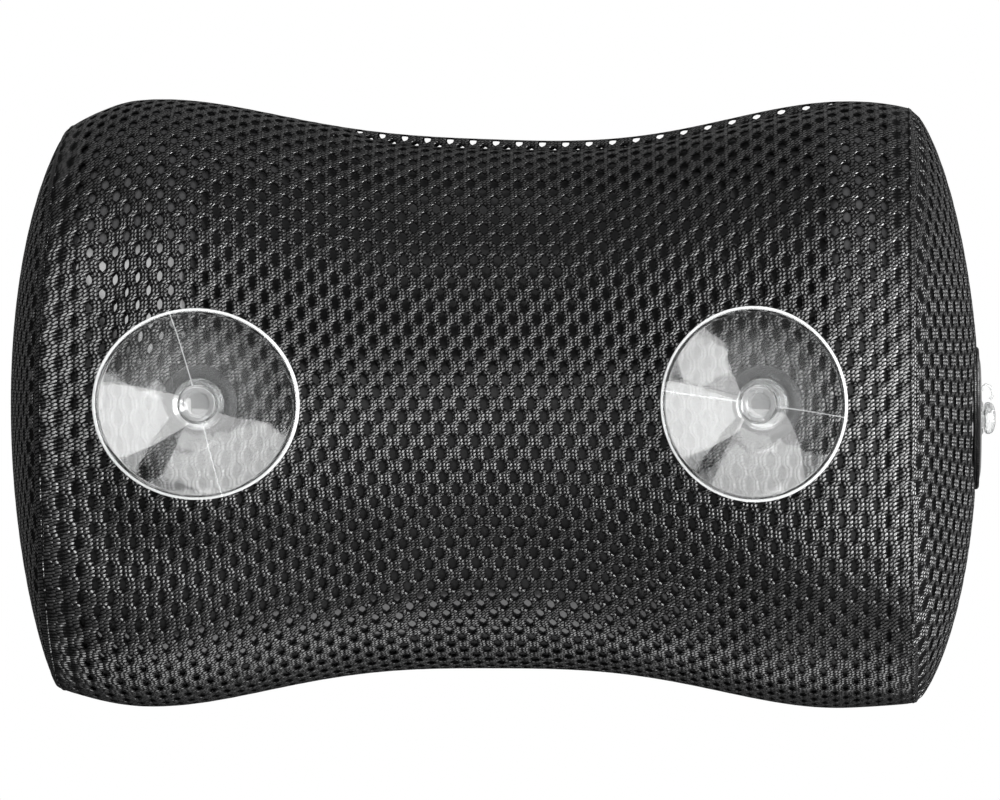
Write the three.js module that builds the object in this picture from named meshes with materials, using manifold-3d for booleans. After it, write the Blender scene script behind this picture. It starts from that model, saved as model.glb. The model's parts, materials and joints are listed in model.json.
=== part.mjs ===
// Inflatable bath pillow: a bone-shaped roll with a knitted mesh cover over a welded air bladder, two clear
// suction cups on its back and an inflation valve in its right end. Millimetres, +Z up.
// X runs along the roll and the back with the cups faces -Y. The origin lies midway between the cups, on the
// plane of the wall that they grip.
import * as THREE from 'three';
import { mergeVertices } from 'three/addons/utils/BufferGeometryUtils.js';
import Module from 'manifold-3d';

// Clearance between touching pieces
const CLEARANCE = 0.3;

// Roll: half sizes of the cover's outside, from the middle of the roll
const SEAM_HALF_LENGTH = 116.5;
const LOBE_INSET = 19.5; // from the end seam to the fullest section of a lobe
const WAIST_HALF_HEIGHT = 75;
const LOBE_HALF_HEIGHT = 86;
const WAIST_HALF_DEPTH = 62;
const LOBE_HALF_DEPTH = 72;
const WAIST_FLATNESS = 1.45; // power that keeps the waist long and shallow
const END_BULGE = 19; // how far an end panel domes past its seam
const END_FULLNESS = 1.5; // power of the dome's profile: 2 is a parabola, 1 an ellipse

// Cover
const COVER_THICKNESS = 1.2;
const SEAM_WIDTH = 2.4; // both seam allowances and their binding
const SEAM_DEPTH = 4.5; // how far the bound allowances reach into the roll
const SEAM_PROUD = 0.5;
const BOTTOM_SEAM_WIDTH = 7;
const BOTTOM_SEAM_THICKNESS = 1.6;

// Air bladder
const BLADDER_WALL = 0.8;
const BLADDER_GAP = 0.4; // between the bladder and the cover, front and back
const CREST_SLACK = 0.3; // between the bladder and the bottom seam, and as much more room at the top
const WAIST_SLACK = 4; // what the waist adds at the top and bottom, where the cover bridges it
const BLADDER_EDGE_RADIUS = 12;
const BLADDER_WELD_INSET = 4.5; // from the end seam to the weld of the end sheet
const WELD_TURN = 0.8; // how far round the edge the weld lies: 0 is its start, 1 a quarter turn

// Suction cups and their eyelets. Heights run outwards from the cover, along the cup's axis.
const CUP_SPACING = 155;
const CUP_DIAMETER = 55;
const CUP_HEIGHT = 21; // cover to the sealing lip
const CUP_LIP_WIDTH = 2;
const CUP_LIP_THICKNESS = 1.1;
const CUP_WEB = 3.6; // thickness at the middle of the cup
const CUP_DISH = 8.4; // depth of the hollow at the middle
const BUTTON_RADIUS = 4.9;
const BUTTON_RIM = 1.6;
const BUTTON_HEIGHT = 0.5;
const NECK_RADIUS = 4.6;
const COLLAR_RADIUS = 6.5;
const COLLAR_THICKNESS = 2;
const STEM_RADIUS = 3.9;
const HEAD_RADIUS = 6.5;
const HEAD_THICKNESS = 3.1;
const SLEEVE_WALL = 1;
const EYELET_RADIUS = 10;
const EYELET_THICKNESS = 1.2;
const POCKET_ROOM = 3; // round the eyelet, in the bladder's dimple
const LEAN_ROOM = 13; // degrees that an eyelet can lean in the cover, with a degree to spare
const COVER_CURVE = 4; // more degrees for the washer, because the cover curves in round the eyelet
const LEFT_CUP_LEAN = -7; // lean at rest, degrees, towards the middle of the roll
const RIGHT_CUP_LEAN = -1;

// Inflation valve. Heights run outwards from the pad of bladder sheet that bulges through the opening.
const VALVE_DROP = 4; // below the middle of the end panel
const OPENING_RADIUS = 20;
const BINDING_WIDTH = 0.8;
const BINDING_HEIGHT = 1.6;
const BINDING_PROUD = 0.6;
const PAD_PROUD = 0.6;
const PAD_CREST_RADIUS = 13.5;
const PAD_FLAT_RADIUS = 9.5;
const PAD_DISH = 1.6; // how deep the valve sits in the pad
const VALVE_FLANGE_RADIUS = 8;
const VALVE_FLANGE_THICKNESS = 0.8;
const VALVE_CONE_RADIUS = 7;
const VALVE_CONE_HEIGHT = 1.2;
const VALVE_TOP_RADIUS = 4.2;
const VALVE_BORE_RADIUS = 2.4;
const VALVE_TUBE_WALL = 1;
const VALVE_TUBE_LENGTH = 6;
const BEAD_RADIUS = 4.5;
const BEAD_HEIGHT = 3.2;
const PLUG_LENGTH = 4.5;
const PLUG_TAPER = 0.3;
const FLAP_THICKNESS = 0.6;
const TETHER_WIDTH = 2.6;
const TETHER_THICKNESS = 0.8;
const TETHER_REACH = 2.5; // how far the strap loops out beyond the cone

// Facets
const ROUND_STEPS = 28;
const LENGTH_STEPS = 14;
const DOME_STEPS = 7;
const CUP_STEPS = 30;
const EYELET_STEPS = 20;
const VALVE_STEPS = 18;
const CURVE_STEPS = 6;

const wasm = await Module();
wasm.setup();

const meshFabric = new THREE.MeshStandardMaterial({ color: 0x1b1b1d, roughness: 0.85 });
const bindingTape = new THREE.MeshStandardMaterial({ color: 0x141416, roughness: 0.9 });
const bladderSheet = new THREE.MeshStandardMaterial({ color: 0x26272a, roughness: 0.25 });
const clearVinyl = new THREE.MeshStandardMaterial({
  color: 0xe4e9ec,
  roughness: 0.1,
  opacity: 0.5,
  transparent: true,
});
const eyeletPlastic = new THREE.MeshStandardMaterial({ color: 0xc9ced1, roughness: 0.3 });

// Merged, indexed copy of a geometry with nothing but its positions
function bare(geometry, matrix = new THREE.Matrix4()) {
  const copy = geometry.clone().applyMatrix4(matrix);
  copy.deleteAttribute('normal');
  copy.deleteAttribute('uv');
  return mergeVertices(copy, 1e-4);
}

function toSolid(geometry, matrix) {
  const merged = bare(geometry, matrix);
  const vertProperties = Float32Array.from(merged.attributes.position.array);
  const triVerts = Uint32Array.from(merged.index.array);
  return new wasm.Manifold(new wasm.Mesh({ numProp: 3, vertProperties, triVerts }));
}

function toGeometry(solid) {
  const { vertProperties, triVerts } = solid.getMesh();
  const geometry = new THREE.BufferGeometry();
  geometry.setAttribute('position', new THREE.BufferAttribute(vertProperties, 3));
  geometry.setIndex(new THREE.BufferAttribute(triVerts, 1));
  geometry.computeVertexNormals();
  return geometry;
}

function piece(name, geometry, material) {
  const mesh = new THREE.Mesh(geometry, material);
  mesh.name = name;
  return mesh;
}

// Lathe profiles are pairs of a radius and a height
const vectors = (points) => points.map(([r, s]) => new THREE.Vector2(r, s));
const lathe = (points, steps) => new THREE.LatheGeometry(vectors(points), steps);
const latheRing = (points, steps) => lathe([...points, points[0]], steps);

// Points of a quadratic curve in a lathe profile, without its first one
function bend(from, control, to) {
  const [a, b, c] = vectors([from, control, to]);
  return new THREE.QuadraticBezierCurve(a, b, c).getPoints(CURVE_STEPS).slice(1).map((p) => [p.x, p.y]);
}

const roundStep = (2 * Math.PI) / ROUND_STEPS;

// Form of the roll: the half height and half depth of its section, from the waist out to the end seams
const lobeDistance = SEAM_HALF_LENGTH - LOBE_INSET;
const swell = (x) => Math.sin((Math.PI / 2) * (Math.abs(x) / lobeDistance) ** WAIST_FLATNESS) ** 2;
const halfHeight = (x) => THREE.MathUtils.lerp(WAIST_HALF_HEIGHT, LOBE_HALF_HEIGHT, swell(x));
const halfDepth = (x) => THREE.MathUtils.lerp(WAIST_HALF_DEPTH, LOBE_HALF_DEPTH, swell(x));

// Point of an oval section: angle 0 is the middle of the back, a quarter turn on is the top
const onOval = (x, angle, height, depth) =>
  new THREE.Vector3(x, -depth * Math.cos(angle), height * Math.sin(angle));

// Solid made by carrying a profile round the roll. A ring's profile closes on itself, any other starts and
// ends on the roll's axis. Profiles run from left to right along the outside.
function sweptSolid(profileAt, isRing) {
  const columns = Array.from({ length: ROUND_STEPS }, (_, i) => profileAt(i * roundStep));
  const rows = columns[0].length;
  const strips = isRing ? rows : rows - 1;
  const index = [];
  for (let i = 0; i < ROUND_STEPS; i += 1) {
    const here = i * rows;
    const next = ((i + 1) % ROUND_STEPS) * rows;
    for (let j = 0; j < strips; j += 1) {
      const k = (j + 1) % rows;
      if (isRing || j > 0) index.push(here + j, next + k, next + j);
      if (isRing || j < strips - 1) index.push(here + j, here + k, next + k);
    }
  }
  const geometry = new THREE.BufferGeometry().setFromPoints(columns.flat());
  geometry.setIndex(index);
  return bare(geometry);
}

// Dome over an end of the roll, from a flat base at baseX. side is 1 for the right end and -1 for the left.
function domeLine(side, baseX, bulge, height, depth, angle) {
  const points = [];
  for (let i = 0; i <= DOME_STEPS; i += 1) {
    const turn = (Math.PI / 2) * (1 - i / DOME_STEPS);
    const reach = Math.sin(turn);
    const rise = bulge * Math.cos(turn) ** END_FULLNESS;
    points.push(onOval(side * (baseX + rise), angle, height * reach, depth * reach));
  }
  return side > 0 ? points : points.reverse();
}

// Domed shell: the outer and the inner dome share a flat rim
function domeShell(side, outer, inner) {
  const line = (dome, angle) => domeLine(side, dome.baseX, dome.bulge, dome.height, dome.depth, angle);
  return sweptSolid((angle) => {
    const outside = line(outer, angle);
    const inside = line(inner, angle).reverse();
    return side > 0 ? [...inside, ...outside] : [...outside, ...inside];
  }, false);
}

// Cover
const wrapEnd = SEAM_HALF_LENGTH - SEAM_WIDTH / 2 - CLEARANCE;
const stations = Array.from({ length: LENGTH_STEPS + 1 }, (_, i) => wrapEnd * ((2 * i) / LENGTH_STEPS - 1));
const endDome = {
  baseX: SEAM_HALF_LENGTH + SEAM_WIDTH / 2 + CLEARANCE,
  bulge: END_BULGE,
  height: halfHeight(SEAM_HALF_LENGTH),
  depth: halfDepth(SEAM_HALF_LENGTH),
};
const endDomeInside = {
  baseX: endDome.baseX,
  bulge: endDome.bulge - COVER_THICKNESS,
  height: endDome.height - COVER_THICKNESS,
  depth: endDome.depth - COVER_THICKNESS,
};
const coverLine = (angle, inset) =>
  stations.map((x) => onOval(x, angle, halfHeight(x) - inset, halfDepth(x) - inset));

// Eyelets and cups stand on the back, square to the cover there
const cupX = CUP_SPACING / 2;
const slopeStep = 0.5;
const backSlope = (halfDepth(cupX + slopeStep) - halfDepth(cupX - slopeStep)) / (2 * slopeStep);
const axisOffset = CUP_HEIGHT + halfDepth(cupX);

// Group whose +Y leaves the back at a cup, leaned towards the middle of the roll by an angle in degrees
function backGroup(side, lean) {
  const group = new THREE.Group();
  group.position.set(side * cupX, -halfDepth(cupX), 0);
  group.rotation.z = Math.PI - side * (Math.atan(backSlope) + THREE.MathUtils.degToRad(lean));
  group.updateMatrix();
  return group;
}

const sleeveRadius = STEM_RADIUS + CLEARANCE + SLEEVE_WALL;
const rise = (degrees) => Math.tan(THREE.MathUtils.degToRad(degrees));
const leanRise = rise(LEAN_ROOM);
const washerRise = rise(LEAN_ROOM + COVER_CURVE);
const coverHoleRadius = sleeveRadius + COVER_THICKNESS * leanRise + CLEARANCE;
const flangeUnder = (r) => r * leanRise + CLEARANCE;
const washerOver = (r) => -(COVER_THICKNESS + r * washerRise + CLEARANCE);
const washerBore = sleeveRadius + CLEARANCE;
const sleeveEnd = washerOver(washerBore) - EYELET_THICKNESS - CLEARANCE;
const headTop = sleeveEnd - CLEARANCE;
const headEnd = headTop - HEAD_THICKNESS;
const pocketRadius = EYELET_RADIUS + POCKET_ROOM;
const pocketDepth = -headEnd + HEAD_RADIUS * leanRise + CLEARANCE;

// Round tool along the group's axis, from a height up to well outside the back
function backTool(side, radius, bottom) {
  const top = CUP_HEIGHT;
  const tool = new THREE.CylinderGeometry(radius, radius, top - bottom, EYELET_STEPS);
  tool.translate(0, (top + bottom) / 2, 0);
  return toSolid(tool, backGroup(side, 0).matrix);
}

function wrapPanel() {
  const walls = (angle) => [...coverLine(angle, 0), ...coverLine(angle, COVER_THICKNESS).reverse()];
  let solid = toSolid(sweptSolid(walls, true));
  for (const side of [-1, 1]) {
    solid = solid.subtract(backTool(side, coverHoleRadius, -2 * pocketDepth));
  }
  return toGeometry(solid);
}

function endSeam(side) {
  const middle = side * SEAM_HALF_LENGTH;
  const [left, right] = [middle - SEAM_WIDTH / 2, middle + SEAM_WIDTH / 2];
  const corner = (x, angle, inset) => onOval(x, angle, endDome.height - inset, endDome.depth - inset);
  return sweptSolid((angle) => [
    corner(left, angle, -SEAM_PROUD),
    corner(right, angle, -SEAM_PROUD),
    corner(right, angle, SEAM_DEPTH),
    corner(left, angle, SEAM_DEPTH),
  ], true);
}

// How much nearer the roll's axis a flat strip lies because the cover curves away at its edges
const stripLift = (x) => {
  const facetDrop = halfHeight(x) * (1 - Math.cos(roundStep));
  const facetWidth = halfDepth(x) * Math.sin(roundStep);
  return (facetDrop * BOTTOM_SEAM_WIDTH) / (2 * facetWidth);
};
const seamInset = (x) => COVER_THICKNESS + CLEARANCE + stripLift(x);

// Bound allowances of the wrap panel's long seam, laid flat against the inside of the cover at the bottom
function bottomSeam() {
  const reach = SEAM_HALF_LENGTH - SEAM_WIDTH - BLADDER_WELD_INSET;
  const inside = (x) => halfHeight(x) - seamInset(x);
  const ends = stations.filter((x) => Math.abs(x) < reach);
  const floor = ends.map((x) => new THREE.Vector2(x, -inside(x)));
  const roof = ends.map((x) => new THREE.Vector2(x, -inside(x) + BOTTOM_SEAM_THICKNESS)).reverse();
  const strip = new THREE.ExtrudeGeometry(new THREE.Shape([...floor, ...roof]), {
    depth: BOTTOM_SEAM_WIDTH,
    bevelEnabled: false,
  });
  strip.translate(0, 0, -BOTTOM_SEAM_WIDTH / 2);
  return bare(strip.rotateX(Math.PI / 2));
}

// Air bladder
const weldX = SEAM_HALF_LENGTH - BLADDER_WELD_INSET;
const edgeStart = weldX - WELD_TURN * BLADDER_EDGE_RADIUS;
const edgeTurns = [0, 0.5, 1].map((part) => edgeStart + part * (weldX - edgeStart));
const bladderStations = [
  ...edgeTurns.map((x) => -x).reverse(),
  ...stations.filter((x) => Math.abs(x) < edgeStart - 1),
  ...edgeTurns,
];
const edgeDrop = (x) => {
  const part = Math.max(0, Math.abs(x) - edgeStart) / BLADDER_EDGE_RADIUS;
  return BLADDER_EDGE_RADIUS * (1 - Math.sqrt(1 - Math.min(1, part) ** 2));
};
const crestGap = (x) => seamInset(x) + BOTTOM_SEAM_THICKNESS + CREST_SLACK + WAIST_SLACK * (1 - swell(x));
const bladderHeight = (x) => halfHeight(x) - crestGap(x) - edgeDrop(x);
const bladderDepth = (x) => halfDepth(x) - COVER_THICKNESS - BLADDER_GAP - edgeDrop(x);
const bladderDome = {
  baseX: weldX + CLEARANCE,
  bulge: endDomeInside.baseX + endDomeInside.bulge - BLADDER_GAP - weldX - CLEARANCE,
  height: bladderHeight(weldX),
  depth: bladderDepth(weldX),
};
const bladderDomeInside = {
  baseX: bladderDome.baseX,
  bulge: bladderDome.bulge - BLADDER_WALL,
  height: bladderDome.height - BLADDER_WALL,
  depth: bladderDome.depth - BLADDER_WALL,
};

// Solid inside of the bladder's wrap, down to an inset, run past both welds by an overrun
function bladderCore(inset, overrun) {
  const last = bladderStations.length - 1;
  return toSolid(sweptSolid((angle) => {
    const line = bladderStations.map((x) => {
      return onOval(x, angle, bladderHeight(x) - inset, bladderDepth(x) - inset);
    });
    line[0].x -= overrun;
    line[last].x += overrun;
    const start = new THREE.Vector3(line[0].x, 0, 0);
    const end = new THREE.Vector3(line[last].x, 0, 0);
    return [start, ...line, end];
  }, false));
}

// The sheet dimples round the inner half of each eyelet
function bladderWrap() {
  let outside = bladderCore(0, 0);
  let inside = bladderCore(BLADDER_WALL, 1);
  for (const side of [-1, 1]) {
    outside = outside.subtract(backTool(side, pocketRadius, -pocketDepth));
    inside = inside.subtract(backTool(side, pocketRadius + BLADDER_WALL, -pocketDepth - BLADDER_WALL));
  }
  return toGeometry(outside.subtract(inside));
}

// Valve: its group's +Y runs out along +X from the floor of the dish in the pad
const coverApex = endDome.baseX + endDome.bulge;
const dishFloor = coverApex + PAD_PROUD - PAD_DISH;
const padRadius = OPENING_RADIUS - BINDING_WIDTH - 2 * CLEARANCE;
const tubeRadius = VALVE_BORE_RADIUS + VALVE_TUBE_WALL;
const tubeEnd = -VALVE_TUBE_LENGTH;
const valveTop = CLEARANCE + VALVE_FLANGE_THICKNESS + VALVE_CONE_HEIGHT;

function valveGroup() {
  const group = new THREE.Group();
  group.position.set(dishFloor, 0, -VALVE_DROP);
  group.rotation.z = -Math.PI / 2;
  group.updateMatrix();
  return group;
}
const valveMatrix = valveGroup().matrix;

// Solid pad under the valve: a drum with a rounded shoulder and a dished face, down to an inset
function padSolid(inset) {
  const radius = padRadius - inset;
  const root = PAD_DISH - PAD_PROUD - END_BULGE / 2;
  const shoulder = PAD_DISH - PAD_PROUD - COVER_THICKNESS - inset;
  const crest = PAD_DISH - inset;
  return toSolid(lathe([
    [0, root],
    [radius, root],
    [radius, shoulder],
    ...bend([radius, shoulder], [radius, crest], [PAD_CREST_RADIUS, crest]),
    ...bend([PAD_CREST_RADIUS, crest], [PAD_FLAT_RADIUS + PAD_DISH / 2, -inset],
      [PAD_FLAT_RADIUS, -inset]),
    [0, -inset],
  ], VALVE_STEPS), valveMatrix);
}

const valveTool = (radius) =>
  toSolid(new THREE.CylinderGeometry(radius, radius, 4 * END_BULGE, VALVE_STEPS), valveMatrix);

// Solid under a dome, run past its base by an overrun
function domeCore(dome, overrun) {
  return toSolid(sweptSolid((angle) => {
    const line = domeLine(1, dome.baseX, dome.bulge, dome.height, dome.depth, angle);
    line[0].x -= overrun;
    return [new THREE.Vector3(line[0].x, 0, 0), ...line];
  }, false));
}

function bladderRightEnd() {
  const outside = domeCore(bladderDome, 0).add(padSolid(0));
  const inside = domeCore(bladderDomeInside, 1).add(padSolid(BLADDER_WALL));
  return toGeometry(outside.subtract(inside).subtract(valveTool(tubeRadius + CLEARANCE)));
}

function coverRightEnd() {
  const panel = toSolid(domeShell(1, endDome, endDomeInside));
  return toGeometry(panel.subtract(valveTool(OPENING_RADIUS)));
}

function openingBinding() {
  const outer = OPENING_RADIUS - CLEARANCE;
  const inner = outer - BINDING_WIDTH;
  const edgeReach = (OPENING_RADIUS - VALVE_DROP) / endDome.depth;
  const edge = END_BULGE * ((1 - edgeReach ** 2) ** (END_FULLNESS / 2) - 1) + PAD_DISH - PAD_PROUD;
  const top = edge + BINDING_PROUD;
  const bottom = top - BINDING_HEIGHT;
  return latheRing([[inner, bottom], [outer, bottom], [outer, top], [inner, top]], VALVE_STEPS);
}

function valveBase() {
  const flangeTop = CLEARANCE + VALVE_FLANGE_THICKNESS;
  return latheRing([
    [VALVE_BORE_RADIUS, tubeEnd],
    [tubeRadius, tubeEnd],
    [tubeRadius, CLEARANCE],
    [VALVE_FLANGE_RADIUS, CLEARANCE],
    [VALVE_FLANGE_RADIUS, flangeTop],
    [VALVE_CONE_RADIUS, flangeTop],
    [VALVE_TOP_RADIUS, valveTop],
    [VALVE_BORE_RADIUS, valveTop],
  ], VALVE_STEPS);
}

function valveStopper() {
  const beadBottom = valveTop + CLEARANCE;
  const beadTop = beadBottom + BEAD_HEIGHT;
  const plugRadius = VALVE_BORE_RADIUS - CLEARANCE;
  return lathe([
    [0, beadBottom - PLUG_LENGTH],
    [plugRadius - PLUG_TAPER, beadBottom - PLUG_LENGTH],
    [plugRadius, beadBottom],
    ...bend([VALVE_TOP_RADIUS - CLEARANCE, beadBottom], [BEAD_RADIUS, beadBottom],
      [BEAD_RADIUS, beadBottom + BEAD_HEIGHT / 3]),
    ...bend([BEAD_RADIUS, beadBottom + BEAD_HEIGHT / 3], [BEAD_RADIUS, beadTop], [0, beadTop]),
  ], VALVE_STEPS);
}

// Non-return flap just inside the tube
function valveFlap() {
  const flap = new THREE.CylinderGeometry(tubeRadius, tubeRadius, FLAP_THICKNESS, VALVE_STEPS);
  return flap.translate(0, tubeEnd - CLEARANCE - FLAP_THICKNESS / 2, 0);
}

// Strap that keeps the stopper with the valve: it loops from the cone up and back to the bead
function valveTether() {
  const foot = CLEARANCE + VALVE_FLANGE_THICKNESS + CLEARANCE + TETHER_THICKNESS / 2;
  const beadMiddle = valveTop + CLEARANCE + BEAD_HEIGHT / 2;
  const outside = VALVE_CONE_RADIUS + CLEARANCE + TETHER_THICKNESS / 2;
  const reach = VALVE_CONE_RADIUS + TETHER_REACH;
  const side = BEAD_RADIUS + CLEARANCE + TETHER_THICKNESS / 2;
  const route = new THREE.CatmullRomCurve3([
    new THREE.Vector3(0, foot, outside),
    new THREE.Vector3(0, (foot + beadMiddle) / 2, reach),
    new THREE.Vector3(0, beadMiddle + TETHER_THICKNESS, (reach + side) / 2),
    new THREE.Vector3(0, beadMiddle, side),
  ]);
  const section = new THREE.Shape([
    new THREE.Vector2(-TETHER_WIDTH / 2, -TETHER_THICKNESS / 2),
    new THREE.Vector2(TETHER_WIDTH / 2, -TETHER_THICKNESS / 2),
    new THREE.Vector2(TETHER_WIDTH / 2, TETHER_THICKNESS / 2),
    new THREE.Vector2(-TETHER_WIDTH / 2, TETHER_THICKNESS / 2),
  ]);
  return new THREE.ExtrudeGeometry(section, {
    steps: 2 * CURVE_STEPS,
    extrudePath: route,
    bevelEnabled: false,
  });
}

// Outer half of an eyelet: a sleeve through the cover, with a dished flange that lets it lean
function eyeletFlange() {
  const bore = STEM_RADIUS + CLEARANCE;
  const under = flangeUnder(sleeveRadius);
  return latheRing([
    [bore, sleeveEnd],
    [sleeveRadius, sleeveEnd],
    [sleeveRadius, under],
    [EYELET_RADIUS, flangeUnder(EYELET_RADIUS)],
    [EYELET_RADIUS, flangeUnder(EYELET_RADIUS) + EYELET_THICKNESS / 2],
    [COLLAR_RADIUS, under + 2 * EYELET_THICKNESS],
    [bore, under + 2 * EYELET_THICKNESS],
  ], EYELET_STEPS);
}

function eyeletWasher() {
  return latheRing([
    [washerBore, washerOver(washerBore) - EYELET_THICKNESS],
    [EYELET_RADIUS, washerOver(EYELET_RADIUS) - EYELET_THICKNESS / 2],
    [EYELET_RADIUS, washerOver(EYELET_RADIUS)],
    [washerBore, washerOver(washerBore)],
  ], EYELET_STEPS);
}

// Suction cup: head, stem, collar and neck, then the bell with its flat lip and the button in its hollow
function suctionCup() {
  const collarBottom = flangeUnder(sleeveRadius) + 2 * EYELET_THICKNESS + CLEARANCE;
  const collarTop = collarBottom + COLLAR_THICKNESS;
  const radius = CUP_DIAMETER / 2;
  const hollow = CUP_HEIGHT - CUP_DISH;
  const shoulder = hollow - CUP_WEB;
  const lipInside = radius - CUP_LIP_WIDTH;
  const lipBack = CUP_HEIGHT - CUP_LIP_THICKNESS;
  return lathe([
    [0, headEnd],
    [HEAD_RADIUS - HEAD_THICKNESS / 2, headEnd],
    [HEAD_RADIUS, headEnd + HEAD_THICKNESS / 2],
    [HEAD_RADIUS, headTop],
    [STEM_RADIUS, headTop],
    [STEM_RADIUS, collarBottom],
    [COLLAR_RADIUS, collarBottom],
    [COLLAR_RADIUS, collarTop],
    [NECK_RADIUS, collarTop],
    [NECK_RADIUS, shoulder],
    ...bend([NECK_RADIUS, shoulder], [radius / 3, hollow], [radius, lipBack]),
    [radius, CUP_HEIGHT],
    [lipInside, CUP_HEIGHT],
    ...bend([lipInside, CUP_HEIGHT], [radius / 2, hollow + CUP_LIP_THICKNESS], [BUTTON_RADIUS, hollow]),
    [BUTTON_RADIUS, hollow + BUTTON_HEIGHT],
    [BUTTON_RADIUS - BUTTON_RIM, hollow + BUTTON_HEIGHT],
    [BUTTON_RADIUS - BUTTON_RIM, hollow],
    [0, hollow],
  ], CUP_STEPS);
}

const pillow = new THREE.Group();
const roll = new THREE.Group();
roll.position.y = axisOffset;
pillow.add(roll);

roll.add(
  piece('cover_wrap_panel', wrapPanel(), meshFabric),
  piece('cover_left_end_panel', domeShell(-1, endDome, endDomeInside), meshFabric),
  piece('cover_right_end_panel', coverRightEnd(), meshFabric),
  piece('left_end_seam', endSeam(-1), bindingTape),
  piece('right_end_seam', endSeam(1), bindingTape),
  piece('bottom_seam', bottomSeam(), bindingTape),
  piece('bladder_wrap_sheet', bladderWrap(), bladderSheet),
  piece('bladder_left_end_sheet', domeShell(-1, bladderDome, bladderDomeInside), bladderSheet),
  piece('bladder_right_end_sheet', bladderRightEnd(), bladderSheet),
);

const valve = valveGroup();
valve.add(
  piece('valve_opening_binding', openingBinding(), bindingTape),
  piece('valve_base', valveBase(), clearVinyl),
  piece('valve_stopper', valveStopper(), clearVinyl),
  piece('valve_flap', valveFlap(), clearVinyl),
  piece('valve_tether', valveTether(), clearVinyl),
);
roll.add(valve);

for (const [name, side, lean] of [['left', -1, LEFT_CUP_LEAN], ['right', 1, RIGHT_CUP_LEAN]]) {
  const mount = backGroup(side, lean);
  mount.add(
    piece(`${name}_eyelet_flange`, eyeletFlange(), eyeletPlastic),
    piece(`${name}_eyelet_washer`, eyeletWasher(), eyeletPlastic),
    piece(`${name}_suction_cup`, suctionCup(), clearVinyl),
  );
  roll.add(mount);
}

export default pillow;
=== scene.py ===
# %% [markdown]
# # Bath pillow in a knitted mesh cover
# The real thing is an air pillow shaped like a bone. A black knitted mesh with oval holes covers a
# glossy vinyl bladder, two clear suction cups hold its back to the wall of a bath, and a stoppered
# valve sits in its right end. Each step below says what a piece is on the real pillow, how it could
# be made, and why it is made this way.

# %% The fixed frame
import json
import math

import bmesh
import bpy
from mathutils import Matrix, Vector, noise


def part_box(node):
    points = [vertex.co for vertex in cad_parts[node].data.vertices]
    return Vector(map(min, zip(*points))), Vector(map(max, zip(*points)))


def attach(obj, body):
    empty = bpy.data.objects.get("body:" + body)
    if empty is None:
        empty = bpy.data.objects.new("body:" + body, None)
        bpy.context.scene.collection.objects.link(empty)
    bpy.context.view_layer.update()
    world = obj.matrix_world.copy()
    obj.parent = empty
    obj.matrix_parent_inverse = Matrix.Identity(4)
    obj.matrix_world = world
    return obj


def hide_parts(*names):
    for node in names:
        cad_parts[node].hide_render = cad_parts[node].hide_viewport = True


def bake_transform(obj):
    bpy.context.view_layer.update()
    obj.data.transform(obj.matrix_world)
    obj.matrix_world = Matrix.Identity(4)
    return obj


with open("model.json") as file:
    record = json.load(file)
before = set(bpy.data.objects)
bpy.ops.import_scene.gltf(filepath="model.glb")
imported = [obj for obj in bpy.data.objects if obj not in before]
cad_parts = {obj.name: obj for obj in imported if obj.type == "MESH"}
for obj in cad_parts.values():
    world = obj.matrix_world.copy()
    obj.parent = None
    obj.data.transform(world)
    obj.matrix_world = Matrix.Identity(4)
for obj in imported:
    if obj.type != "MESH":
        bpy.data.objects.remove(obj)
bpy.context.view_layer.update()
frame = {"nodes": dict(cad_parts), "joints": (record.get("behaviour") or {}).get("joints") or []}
joints = {joint["name"]: joint for joint in frame["joints"]}
MM = 0.001

# %% [markdown]
# ## Camera
# The photograph was taken from far away with a long lens, a few degrees round towards the valve, so
# the two ends look almost alike. A long lens at two metres gives the same flat perspective.

# %% Camera
CAMERA_DISTANCE = 2.0
CAMERA_AZIMUTH, CAMERA_ELEVATION = 2.7, 0.0
CAMERA_LENS = 254.0
LOOKED_AT = Vector((0.0016, 0.0912, 0.0011))


def direction(azimuth, elevation):
    """Unit vector away from the pillow, from angles in degrees: azimuth 0 is the middle of its back."""
    a, e = math.radians(azimuth), math.radians(elevation)
    return Vector((math.sin(a) * math.cos(e), -math.cos(a) * math.cos(e), math.sin(e)))


def add_object(name, data):
    made = bpy.data.objects.new(name, data)
    bpy.context.scene.collection.objects.link(made)
    return made


camera_data = bpy.data.cameras.new("camera")
camera_data.lens = CAMERA_LENS
camera_data.sensor_width = 36.0
camera_data.clip_end = 50.0
camera = add_object("camera", camera_data)
camera_back = direction(CAMERA_AZIMUTH, CAMERA_ELEVATION)
camera.location = LOOKED_AT + camera_back * CAMERA_DISTANCE
camera.rotation_mode = "QUATERNION"
camera.rotation_quaternion = (-camera_back).to_track_quat("-Z", "Y")
bpy.context.scene.camera = camera
bpy.context.scene.view_settings.view_transform = "Standard"
print("camera at", [round(x, 3) for x in camera.location])

# %% [markdown]
# ## Shader maths
# A material is a net of nodes. Written out one by one, even a small pattern takes pages, so a socket
# is wrapped in a class whose operators add the Math nodes. Then a knitted stitch reads as a formula.

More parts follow.
